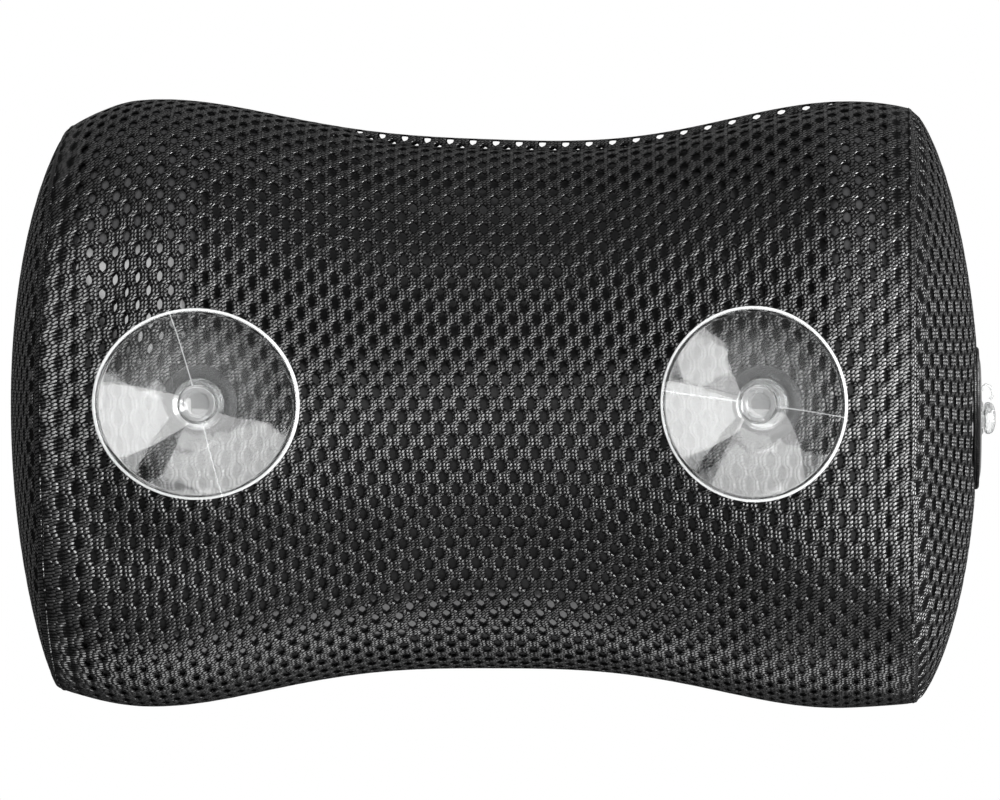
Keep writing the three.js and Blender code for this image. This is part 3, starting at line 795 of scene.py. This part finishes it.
wrap = brick_cells(WRAP_COLUMNS, WRAP_ROWS)
for column in cup_columns:
    cut_round(wrap, cup_cell, (column, back_row), STEM_HOLE_RADIUS)
open_holes(wrap, wrap_opening)
keep_lattice(wrap)
for vert in wrap.verts:
    x = vert.co.x * column_width - WRAP_EDGE
    angle = wrap_angle(vert.co.y)
    x -= WALE_LEAN * half_height(x) * math.sin(angle) * (1 - (x / WRAP_EDGE) ** 2)
    vert.co = on_roll(x, angle, YARN_RISE * vert.is_boundary)
cover_wrap = thicken(make_piece("cover_wrap", wrap, mesh_finish), CLOTH_THICKNESS)
seat(cover_wrap, "pillow", "mesh_fabric", "cover_wrap_panel")

# %% [markdown]
# ## End panels
# Each end is a flat oval of the same cloth, domed by the air behind it. It is cut from a rectangle of
# cells: those outside the oval are taken out, and the edge that is left is drawn to the seam line. The
# right panel also has the round opening for the valve.

# %% End panels
END_CELL = (7.6, 3.4)
END_STRETCH = 0.2
PANEL_REACH = 0.985
PANEL_OPENING = 0.2
OPENING_RADIUS = 20.0
OPENING_STRETCH = 0.72 * END_STRETCH
END_HALF_DEPTH, END_HALF_HEIGHT = half_depth(SEAM_X), half_height(SEAM_X)
valve_low, valve_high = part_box("valve_base")
VALVE_Z = (valve_low.z + valve_high.z) / 2 / MM


def end_panel(name, side, node):
    columns = 2 * math.ceil(END_HALF_DEPTH / END_CELL[0])
    rows = 2 * math.ceil(END_HALF_HEIGHT / END_CELL[1])
    middle = Vector((columns / 2, rows / 2))

    def reach(place):
        off = off_point(place, middle, END_CELL)
        return math.hypot(off.x / END_HALF_DEPTH, off.y / END_HALF_HEIGHT)

    panel = brick_cells(columns, rows)
    outside = [face for face in panel.faces if reach(face.calc_center_median()) > PANEL_REACH]
    bmesh.ops.delete(panel, geom=outside, context="FACES")
    for vert in panel.verts:
        if vert.is_boundary:
            vert.co.xy = middle + (vert.co.xy - middle) / reach(vert.co)
    if side > 0:
        valve_row = middle.y + VALVE_Z / END_CELL[1] / (1.0 + END_STRETCH)
        flat_radius = OPENING_RADIUS / (1.0 + OPENING_STRETCH)
        cut_round(panel, END_CELL, (middle.x, valve_row), flat_radius)
    open_holes(panel, lambda u, v: (PANEL_OPENING, HOLE_HALF_HEIGHT))
    keep_lattice(panel)
    for vert in panel.verts:
        stretch = 1.0 + END_STRETCH * max(0.0, 1.0 - reach(vert.co))
        place = off_point(vert.co, middle, END_CELL) * stretch
        across, up = side * place.x / END_HALF_DEPTH, place.y / END_HALF_HEIGHT
        vert.co = on_end(side, across, up, YARN_RISE * vert.is_boundary)
    face_outwards(panel)
    made = thicken(make_piece(name, panel, mesh_finish), CLOTH_THICKNESS)
    seat(made, "pillow", "mesh_fabric", node)


end_panel("cover_left_end", -1, "cover_left_end_panel")
end_panel("cover_right_end", 1, "cover_right_end_panel")

# %% [markdown]
# ## Round pieces
# Seams, cups, eyelets and the valve are all turned shapes. A profile of a few points is spun about an
# axis, its ends are merged, and the shape is placed by a matrix. A profile's points are a radius and a
# height, in millimetres.

# %% Turned shapes
MERGE_DISTANCE = 0.0005


def bend(start, control, end, steps=10):
    """Points of a curve between two points, drawn towards a third."""
    points = []
    for index in range(steps + 1):
        t = index / steps
        weights = ((1 - t) ** 2, 2 * t * (1 - t), t ** 2)
        corners = tuple(zip(weights, (start, control, end)))
        points.append(tuple(sum(weight * point[k] for weight, point in corners) for k in (0, 1)))
    return points


def oval_section(radius, deep, wide, sides):
    """Section of a ring: an oval round a point at a radius."""
    turns = [2 * math.pi * index / sides for index in range(sides)]
    return [(radius + deep / 2 * math.cos(turn), wide / 2 * math.sin(turn)) for turn in turns]


def spun(profile, steps, closed=False):
    """Turns a profile about the upright axis."""
    form = bmesh.new()
    line = [form.verts.new((radius, 0, height)) for radius, height in profile]
    edges = [form.edges.new(pair) for pair in zip(line, line[1:])]
    if closed:
        edges.append(form.edges.new((line[-1], line[0])))
    bmesh.ops.spin(
        form, geom=line + edges, cent=(0, 0, 0), axis=(0, 0, 1),
        angle=2 * math.pi, steps=steps, use_merge=True,
    )
    bmesh.ops.remove_doubles(form, verts=form.verts, dist=MERGE_DISTANCE)
    bmesh.ops.recalc_face_normals(form, faces=form.faces)
    return form


def standing(place, axis):
    """Matrix that stands a turned shape on a point, along an axis."""
    turn = Vector((0, 0, 1)).rotation_difference(Vector(axis)).to_matrix().to_4x4()
    return Matrix.Translation(Vector(place)) @ turn


def placed(form, stand):
    bmesh.ops.transform(form, matrix=stand, verts=form.verts)
    return form


# %% [markdown]
# ## Seams
# Where the wrap meets an end panel, the allowances of both are folded into a round, slightly puckered
# roll of the same knit. It is a ring spun from a small oval section and pressed to the oval of the end.

# %% End seams
SEAM_SECTION_WIDTH = 3.0
SEAM_SECTION_DEPTH = 4.6
SEAM_PROUD = -0.2
SEAM_OUT = 0.6
SEAM_STEPS, SEAM_SIDES = 220, 12
SEAM_ROWS, SEAM_COLUMNS_PER_MM = 124.0, 0.24
SEAM_PUCKER, SEAM_PUCKER_DEPTH = 0.5, 0.6
PUCKERS_ROUND, PUCKER_START = 6.0, 3.0


def ring_lattice(form, around, across):
    """UV of a spun ring: across its section, and rows along the turn."""
    layer = form.loops.layers.uv.new("lattice")
    for face in form.faces:
        turns = [math.atan2(loop.vert.co.y, loop.vert.co.x) / (2 * math.pi) for loop in face.loops]
        for loop, turn in zip(face.loops, turns):
            if max(turns) - turn > 0.5:
                turn += 1.0
            loop[layer].uv = (loop.vert.co.z * across, turn * around)


def end_seam(name, side, node):
    middle = END_HALF_HEIGHT + SEAM_PROUD - SEAM_SECTION_DEPTH / 2
    section = oval_section(middle, SEAM_SECTION_DEPTH, SEAM_SECTION_WIDTH, SEAM_SIDES)
    ring = spun(section, SEAM_STEPS, closed=True)
    ring_lattice(ring, SEAM_ROWS, SEAM_COLUMNS_PER_MM)
    for vert in ring.verts:
        turn = math.atan2(vert.co.y, vert.co.x)
        across, up = math.cos(turn), math.sin(turn)
        place = Vector((PUCKERS_ROUND * across, PUCKERS_ROUND * up, PUCKER_START * side))
        pucker = SEAM_PUCKER * noise.noise(place)
        inset = END_HALF_HEIGHT - math.hypot(vert.co.x, vert.co.y) - pucker * SEAM_PUCKER_DEPTH
        x = side * (SEAM_X + SEAM_OUT) + vert.co.z + pucker
        full = corner_fill(side * SEAM_X, turn)
        y = ROLL_Y - (END_HALF_DEPTH - inset) * across * full
        vert.co = settled(Vector((x, y, (END_HALF_HEIGHT - inset) * up * full)))
    bmesh.ops.recalc_face_normals(ring, faces=ring.faces)
    seat(make_piece(name, ring, mesh_finish), "pillow", "binding_tape", node)


end_seam("left_seam_roll", -1, "left_end_seam")
end_seam("right_seam_roll", 1, "right_end_seam")

# %% [markdown]
# The wrap's long seam lies flat inside the cover along the bottom. It is a narrow bound strip: a grid
# bent to the cover and thickened.

# %% Bottom seam
BOTTOM_SEAM_WIDTH = 7.0
BOTTOM_SEAM_THICKNESS = 1.3
BOTTOM_SEAM_INSET = 1.6
STRIP_COLUMNS, STRIP_ROWS = 80, 6
STRIP_PITCH = 4.0

strip_low, strip_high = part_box("bottom_seam")
strip_length = (strip_high.x - strip_low.x) / MM
strip = bmesh.new()
bmesh.ops.create_grid(strip, x_segments=STRIP_COLUMNS, y_segments=STRIP_ROWS, size=0.5)
bmesh.ops.scale(strip, vec=(strip_length, BOTTOM_SEAM_WIDTH, 1), verts=strip.verts)
strip_uv = strip.loops.layers.uv.new("lattice")
for face in strip.faces:
    for loop in face.loops:
        loop[strip_uv].uv = loop.vert.co.yx / STRIP_PITCH
for vert in strip.verts:
    tilt = vert.co.y / half_depth(vert.co.x)
    vert.co = on_roll(vert.co.x, tilt - math.pi / 2, BOTTOM_SEAM_INSET)
face_outwards(strip)
bottom_strip = thicken(make_piece("bottom_seam_strip", strip, mesh_finish), BOTTOM_SEAM_THICKNESS)
seat(bottom_strip, "pillow", "binding_tape", "bottom_seam")

# %% [markdown]
# ## Bladder
# The air bladder fills the cover. On the lobes it lies close under the cloth, behind the upper half of
# the waist it is slack, and under the crest it comes close again, so that light shows through the top
# row of holes alone. Its wrap is welded to a domed sheet at each end. A grid is bent round the roll,
# its last rows turn in to the welds, and it dimples round the inner half of each eyelet.

# %% Lie of the bladder
BLADDER_INSET, CREST_INSET = 0.6, 2.2
SLACK_DEPTH = 5.0
SLACK_FOOT_Z, SLACK_HEAD_Z = -6.0, 40.0
SLACK_LEFT_X, SLACK_RIGHT_X = -82.0, 98.0
SLACK_FADE = 10.0
CREST_LEFT_X = -38.0
CREST_HUG, CREST_HUG_Z = 0.8, 56.0
PUCKER_HEIGHT, PUCKER_MEAN, PUCKER_LENGTH = 0.5, 0.5, 15.0
WELD_X = 113.0
WELD_RADIUS = 6.0
WELD_START_X = WELD_X - 0.8 * WELD_RADIUS
POCKET_RADIUS, POCKET_FADE = 17.0, 5.0
POCKET_DEPTH = 11.0


def weld_drop(x):
    turned = clamped((abs(x) - WELD_START_X) / WELD_RADIUS)
    return WELD_RADIUS * (1 - math.sqrt(1 - turned * turned))


def bladder_inset(x, angle):
    """How deep the bladder lies under the outside of the cover."""
    z = half_height(x) * math.sin(angle)
    along = eased((x - SLACK_LEFT_X) / SLACK_FADE) * eased((SLACK_RIGHT_X - x) / SLACK_FADE)
    hug = max(CREST_HUG, eased((CREST_LEFT_X - x) / SLACK_FADE))
    along *= 1.0 - hug * eased((z - CREST_HUG_Z) / SLACK_FADE)
    slack = SLACK_DEPTH * along * eased((z - SLACK_FOOT_Z) / (SLACK_HEAD_Z - SLACK_FOOT_Z))
    crest = (CREST_INSET - BLADDER_INSET) * max(0.0, math.sin(angle)) ** 4 * (1.0 - swell(x))
    place = Vector((x, math.cos(angle) * half_depth(x), z)) / PUCKER_LENGTH
    pucker = PUCKER_HEIGHT * (PUCKER_MEAN + noise.noise(place))
    return BLADDER_INSET + slack + crest + weld_drop(x) + pucker


def eyelet_dimple(point):
    if point.y >= ROLL_Y:
        return 0.0
    off = min(math.hypot(point.x - side * CUP_X, point.z) for side in (-1, 1))
    return POCKET_DEPTH * eased((POCKET_RADIUS - off) / POCKET_FADE)


def on_bladder(x, angle):
    point = on_roll(x, angle, bladder_inset(x, angle))
    point.y += eyelet_dimple(point)
    return point


print("bladder under the waist's middle:", round(bladder_inset(0.0, 0.0), 2), "mm deep")

# %% [markdown]
# Most of the film is finely wrinkled, which dulls it. It is tight, and mirrors the lamps, in a
# slanting band at the left and a little along the foot. Each vertex carries its share of wrinkles,
# which the finish reads.

# %% Bladder wrap
BLADDER_WALL = 0.8
BAG_COLUMNS, BAG_ROWS = 130, 160
TIGHT_LEFT_X, TIGHT_RIGHT_X, TIGHT_SLANT = -89.0, -75.0, 0.667
TIGHT_TOP_Z, TIGHT_FOOT_Z = 46.0, -16.0
TIGHT_FADE, TIGHT_RIGHT_FADE = 7.0, 20.0
FOOT_TIGHTNESS = 0.28
FOOT_TOP_Z, FOOT_RIGHT_X, FOOT_RIGHT_FADE = -48.0, 70.0, 60.0


def wrinkling(x, angle):
    """Share of fine wrinkles: 1 all over, and less where the film is tight."""
    z = half_height(x) * math.sin(angle)
    band = eased((x - TIGHT_LEFT_X + TIGHT_SLANT * z) / TIGHT_FADE)
    band *= eased((TIGHT_RIGHT_X - x) / TIGHT_RIGHT_FADE)
    band *= eased((TIGHT_TOP_Z - z) / TIGHT_FADE) * eased((z - TIGHT_FOOT_Z) / TIGHT_FADE)
    foot = eased((FOOT_TOP_Z - z) / TIGHT_FADE) * eased((FOOT_RIGHT_X - x) / FOOT_RIGHT_FADE)
    return 1.0 - max(band, FOOT_TIGHTNESS * foot)


bag = bmesh.new()
bmesh.ops.create_grid(bag, x_segments=BAG_COLUMNS, y_segments=BAG_ROWS, size=0.5)
wrinkles = bag.verts.layers.float.new("slackness")
for vert in bag.verts:
    x, angle = vert.co.x * 2 * WELD_X, 2 * math.pi * vert.co.y
    vert[wrinkles] = wrinkling(x, angle)
    vert.co = on_bladder(x, angle)
bmesh.ops.remove_doubles(bag, verts=bag.verts, dist=MERGE_DISTANCE)
face_outwards(bag)
bladder_wrap = thicken(make_piece("bladder_wrap", bag, bladder_finish), BLADDER_WALL)
seat(bladder_wrap, "pillow", "bladder_vinyl", "bladder_wrap_sheet")

# %% [markdown]
# The end sheets are domes. A disc is spun from a line of points, pressed to the oval of the weld and
# raised to the bulge of the end.

# %% Bladder ends
END_WRINKLING = 0.9
END_GAP = 2.2
WELD_STEP = 0.3
DOME_RINGS, DOME_STEPS = 40, 120


def bladder_end(name, side, node):
    height = half_height(WELD_X) - bladder_inset(WELD_X, math.pi / 2)
    depth = half_depth(WELD_X) - bladder_inset(WELD_X, 0.0)
    bulge = END_BASE_X + END_BULGE - END_GAP - WELD_X
    rings = [math.sin(math.pi / 2 * index / DOME_RINGS) for index in range(DOME_RINGS + 1)]
    dome = spun([(ring, 0.0) for ring in rings], DOME_STEPS)
    wrinkles = dome.verts.layers.float.new("slackness")
    for vert in dome.verts:
        vert[wrinkles] = END_WRINKLING
        across, up = vert.co.xy
        out = end_corner(side, across, up)
        x = side * (WELD_X + WELD_STEP + bulge * end_rise(side, across, up))
        vert.co = settled(Vector((x, ROLL_Y + across * out * depth, up * out * height)))
    face_outwards(dome)
    made = thicken(make_piece(name, dome, bladder_finish), BLADDER_WALL)
    seat(made, "pillow", "bladder_vinyl", node)


bladder_end("bladder_left_end", -1, "bladder_left_end_sheet")
bladder_end("bladder_right_end", 1, "bladder_right_end_sheet")

# %% [markdown]
# On the right, the film is drawn out round the valve to a dished pad that shows in the cover's opening.
# The pad is a turned piece of its own, with a skirt that reaches into the dome behind it.

# %% Valve pad
DISH_FLOOR_X = 136.0
PAD_FLAT_RADIUS, PAD_FLAT_BEND = 9.5, 1.5
PAD_CREST_RADIUS = 13.5
PAD_RADIUS = 18.6
PAD_DISH = 1.6
SKIRT_TOP, SKIRT_FOOT = -0.5, -6.0
TUBE_RADIUS, TUBE_ROOM = 3.4, 0.3
PAD_STEPS = 96

along_x = standing((DISH_FLOOR_X, ROLL_Y, VALVE_Z), (1, 0, 0))
pad_crest = (PAD_CREST_RADIUS, PAD_DISH)
pad_outside = bend((PAD_FLAT_RADIUS, 0.0), (PAD_FLAT_RADIUS + PAD_FLAT_BEND, 0.0), pad_crest)
pad_outside += bend(pad_crest, (PAD_RADIUS, PAD_DISH), (PAD_RADIUS, SKIRT_TOP))[1:]
pad_inside = [
    (radius - (radius > PAD_CREST_RADIUS) * BLADDER_WALL, height - BLADDER_WALL)
    for radius, height in pad_outside
]
pad_profile = [(TUBE_RADIUS + TUBE_ROOM, 0.0)] + pad_outside
pad_profile += [(PAD_RADIUS, SKIRT_FOOT), (PAD_RADIUS - BLADDER_WALL, SKIRT_FOOT)]
pad_profile += pad_inside[::-1] + [(TUBE_RADIUS + TUBE_ROOM, -BLADDER_WALL)]
pad = placed(spun(pad_profile, PAD_STEPS, closed=True), along_x)
seat(make_piece("valve_pad", pad, bladder_finish), "pillow", "bladder_vinyl")

# %% [markdown]
# ## Valve
# A clear flange, cone and tube are welded into the pad, and a bead-headed stopper closes the bore. The
# flap behind the tube keeps the solid's own mesh, because nothing of it shows.

# %% Valve base and stopper
VALVE_STEPS = 72

valve_profile = [(2.4, -6.0), (TUBE_RADIUS, -6.0), (TUBE_RADIUS, 0.3), (7.8, 0.3), (8.0, 0.5)]
valve_profile += [(8.0, 0.9), (7.8, 1.1)] + bend((7.0, 1.1), (5.4, 1.5), (4.2, 2.3)) + [(2.4, 2.3)]
valve = placed(spun(valve_profile, VALVE_STEPS, closed=True), along_x)
seat(make_piece("valve_seat", valve, cup_finish), "pillow", "clear_vinyl", "valve_base")

stopper_profile = [(0.0, -1.9), (1.5, -1.9), (1.8, -1.6), (2.1, 2.6)]
stopper_profile += bend((3.6, 2.6), (4.5, 2.7), (4.5, 3.7))
stopper_profile += bend((4.5, 3.7), (4.5, 5.8), (0.0, 5.8))[1:]
stopper = placed(spun(stopper_profile, VALVE_STEPS), along_x)
seat(make_piece("valve_bead", stopper, cup_finish), "stopper", "clear_vinyl", "valve_stopper")

frame["nodes"]["valve_flap"].data.materials.clear()
frame["nodes"]["valve_flap"].data.materials.append(cup_finish)

# %% [markdown]
# A short strap keeps the stopper from getting lost. The hem round the opening is a thin rolled ring.

# %% Strap and hem
STRAP_WIDTH = 2.6
STRAP_THICKNESS = 0.8
STRAP_ROUTE = [(1.8, 7.7), (2.2, 8.8), (3.0, 9.5), (4.2, 8.9), (5.0, 7.4), (4.9, 6.2), (4.2, 5.25)]
HEM_INSET = 0.7
HEM_DEPTH, HEM_WIDTH = 1.8, 2.0
HEM_STEPS, HEM_SIDES = 120, 10
HEM_ROWS, HEM_COLUMNS_PER_MM = 60.0, 0.3


def strap_point(index, across=0.0):
    out, up = STRAP_ROUTE[index]
    return Vector((DISH_FLOOR_X + out, ROLL_Y + across * STRAP_WIDTH, VALVE_Z + up))


strap_links = len(STRAP_ROUTE) - 1
strap = bmesh.new()
bmesh.ops.create_grid(strap, x_segments=strap_links, y_segments=2, size=0.5)
for vert in strap.verts:
    vert.co = strap_point(round((vert.co.x + 0.5) * strap_links), vert.co.y)
strap_band = thicken(make_piece("valve_strap", strap, cup_finish), STRAP_THICKNESS, offset=0.0)
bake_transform(strap_band)
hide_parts("valve_tether")

hem_low, hem_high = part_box("valve_opening_binding")
HEM_X = (hem_low.x + hem_high.x) / 2 / MM
hem_section = oval_section(OPENING_RADIUS - HEM_INSET, HEM_DEPTH, HEM_WIDTH, HEM_SIDES)
hem = spun(hem_section, HEM_STEPS, closed=True)
ring_lattice(hem, HEM_ROWS, HEM_COLUMNS_PER_MM)
placed(hem, standing((HEM_X, ROLL_Y, VALVE_Z), (1, 0, 0)))
seat(make_piece("valve_hem", hem, mesh_finish), "pillow", "binding_tape", "valve_opening_binding")

# %% [markdown]
# ## Suction cups and eyelets
# Each cup is one clear moulding: a head inside the cover, a stem through the eyelet, a collar, and a
# bell with a flat lip and a small ringed button in its hollow. The eyelet is a sleeve with a dished
# flange outside the cover and a washer inside. All are turned about the cup's own axis, and the cup's
# profile goes from its head to its button. The soft lips are then drawn a little oval, as they sit.

# %% Profiles of cup, flange and washer
CUP_BEND_STEPS = 24

head_profile = [(0.0, -8.08)] + bend((4.9, -8.08), (6.5, -8.08), (6.5, -6.5), 5) + [(6.5, -5.0)]
stem_profile = [(3.9, -4.98), (3.9, 4.2)]
collar_profile = [(6.4, 4.2), (6.5, 4.35), (6.5, 6.05), (6.4, 6.2), (4.75, 6.2), (4.6, 6.4)]
bell_outside = bend((4.6, 9.0), (9.17, 12.6), (27.3, 19.85), CUP_BEND_STEPS)
lip_profile = [(27.5, 20.05), (27.5, 20.8), (27.3, 21.0), (25.6, 21.0)]
bell_inside = bend((25.5, 20.95), (13.75, 15.0), (4.95, 12.6), CUP_BEND_STEPS)
button_profile = [(4.9, 12.65), (4.85, 13.05), (4.7, 13.1), (3.5, 13.1), (3.35, 13.05)]
button_profile += [(3.3, 12.65), (3.2, 12.6), (0.0, 12.6)]
cup_profile = head_profile + stem_profile + collar_profile
cup_profile += bell_outside + lip_profile + bell_inside + button_profile

flange_profile = [(4.2, -4.68), (5.2, -4.68), (5.2, 1.5), (10.0, 2.61), (10.0, 3.1)]
flange_profile += [(9.9, 3.21), (6.5, 3.85), (4.2, 3.9)]
washer_profile = [(5.5, -4.38), (9.9, -5.2), (10.0, -5.1), (10.0, -4.56), (5.5, -3.18)]
print("cup profile:", len(cup_profile), "points")

# %% Cups and eyelets
CUP_STEPS = 128
PARTING_ANGLE = {"left": 107.0, "right": 164.0}
LIP_RADIUS = 27.5
LIP_WIDTH = {"left": 1.025, "right": 0.93}
LIP_HEIGHT = {"left": 0.945, "right": 0.965}


def keep_face_place(form, parting_angle):
    """UV of a turned piece: its place off the parting line and along it, in millimetres."""
    layer = form.loops.layers.uv.new("face")
    across, up = math.cos(math.radians(parting_angle)), math.sin(math.radians(parting_angle))
    for face in form.faces:
        for loop in face.loops:
            x, y = loop.vert.co.xy
            loop[layer].uv = (x * up - y * across, x * across + y * up)


def draw_lip(form, width, height):
    """Draws a cup oval, more the further out."""
    for vert in form.verts:
        share = (vert.co.xy.length / LIP_RADIUS) ** 2
        vert.co.x *= 1 + (width - 1) * share
        vert.co.y *= 1 + (height - 1) * share


for hand in ("left", "right"):
    spin_joint = joints[f"{hand}_cup_spin"]
    stand = standing(Vector(spin_joint["pos_m"]) / MM, spin_joint["axis"])
    for name, profile, closed, finish, body, slot, node in (
        ("cup", cup_profile, False, cup_finish, "cup", "clear_vinyl", "suction_cup"),
        ("flange", flange_profile, True, eyelet_finish, "eyelet", "eyelet_plastic", "eyelet_flange"),
        ("washer", washer_profile, True, eyelet_finish, "eyelet", "eyelet_plastic", "eyelet_washer"),
    ):
        turned = spun(profile, CUP_STEPS, closed)
        keep_face_place(turned, PARTING_ANGLE[hand])
        if name == "cup":
            draw_lip(turned, LIP_WIDTH[hand], LIP_HEIGHT[hand])
        made = make_piece(f"{hand}_{name}", placed(turned, stand), finish)
        seat(made, f"{hand}_{body}", slot, f"{hand}_{node}")

# %% [markdown]
# ## Studio
# The photograph is cut out on white. The floor lies below the camera's frame. It glows a little to the
# camera, so that it stays pale in other views, and is dark to mirrors, so that the glossy film has no
# white foot. The world is white to the camera and dim to the object, apart from a bright patch behind
# the pillow, which the clear vinyl shows.

# %% Floor and world
FLOOR_Z, FLOOR_RADIUS, FLOOR_SIDES = -0.26, 1.3, 64
FLOOR_GLOW = 0.35
PALE_FLOOR, MIRRORED_FLOOR = (0.82, 0.82, 0.82, 1), (0.05, 0.05, 0.05, 1)
ROOM, WHITE = (0.04, 0.04, 0.04, 1), (1, 1, 1, 1)
MIRRORED_BACKDROP = 0.3
BACKDROP_RISE, BACKDROP_START, BACKDROP_ROUNDING = 3.0, 0.6, 0.1

floor_form = bmesh.new()
bmesh.ops.create_circle(floor_form, cap_ends=True, segments=FLOOR_SIDES, radius=FLOOR_RADIUS)
bmesh.ops.translate(floor_form, vec=(0, ROLL_Y * MM, FLOOR_Z), verts=floor_form.verts)
floor_mesh = bpy.data.meshes.new("floor")
floor_form.to_mesh(floor_mesh)
floor_form.free()
floor = add_object("floor", floor_mesh)
floor_look = {"Roughness": 0.8, "Emission_Strength": FLOOR_GLOW}
floor_finish, floor_shader, floor_place = new_finish("pale_floor", "Object", **floor_look)
rays = floor_place.node("ShaderNodeLightPath", {}, output="Is Camera Ray")
floor_colour = mix_colours(rays.output("Is Glossy Ray"), PALE_FLOOR, MIRRORED_FLOOR)
feed(floor_shader, "Base Color", floor_colour)
feed(floor_shader, "Emission Color", rays)
floor_mesh.materials.append(floor_finish)

world = bpy.data.worlds.new("studio")
bpy.context.scene.world = world
world.use_nodes = True
sky_rays = Wire(world.node_tree.nodes.new("ShaderNodeLightPath").outputs["Is Camera Ray"])
toward = Wire(world.node_tree.nodes.new("ShaderNodeTexCoord").outputs["Generated"])
behind = parts(toward).output(1)
patch = behind.math("MAXIMUM", behind * BACKDROP_RISE - BACKDROP_START, 0.0)
patch = patch.math("SMOOTH_MIN", patch, 1.0, BACKDROP_ROUNDING)
glossy = sky_rays.output("Is Glossy Ray") * MIRRORED_BACKDROP
mirrored = sky_rays.math("MAXIMUM", glossy, sky_rays.output("Is Transmission Ray"))
white = sky_rays.math("MAXIMUM", sky_rays, mirrored * patch)
feed(world.node_tree.nodes["Background"], "Color", mix_colours(white, ROOM, WHITE))
print("floor at", FLOOR_Z, "m")

# %% [markdown]
# The lamps are soft boxes: a large one at the right, one at the upper left and one above, a rim light
# far to the right for the end panel, a small card that shows in the right cup, and a low box that
# lifts the shade under the pillow.

# %% Lamps
LAMPS = (
    # name, azimuth, elevation, distance, width, height, power
    ("right_box", 36, 8.5, 1.2, 1.20, 0.97, 16.2),
    ("upper_left_box", -20, 33, 1.2, 1.26, 0.96, 10.3),
    ("top_box", 0, 64, 1.2, 1.20, 0.40, 4),
    ("low_right_card", 29, -17, 0.265, 0.062, 0.09, 0.06),
    ("right_rim", 88, 5, 1.2, 0.60, 0.90, 18),
    ("low_box", 0, -80, 0.20, 0.30, 0.10, 0.22),
)

for name, azimuth, elevation, distance, width, height, power in LAMPS:
    away = direction(azimuth, elevation)
    lamp = bpy.data.lights.new(name, "AREA")
    lamp.shape = "RECTANGLE"
    lamp.size, lamp.size_y = width, height
    lamp.energy = power
    made = add_object(name, lamp)
    made.location = Vector((0, ROLL_Y * MM, 0)) + away * distance
    made.rotation_mode = "QUATERNION"
    made.rotation_quaternion = away.to_track_quat("Z", "Y")
    made.visible_camera = False
print("lamps:", [lamp.name for lamp in bpy.data.lights])
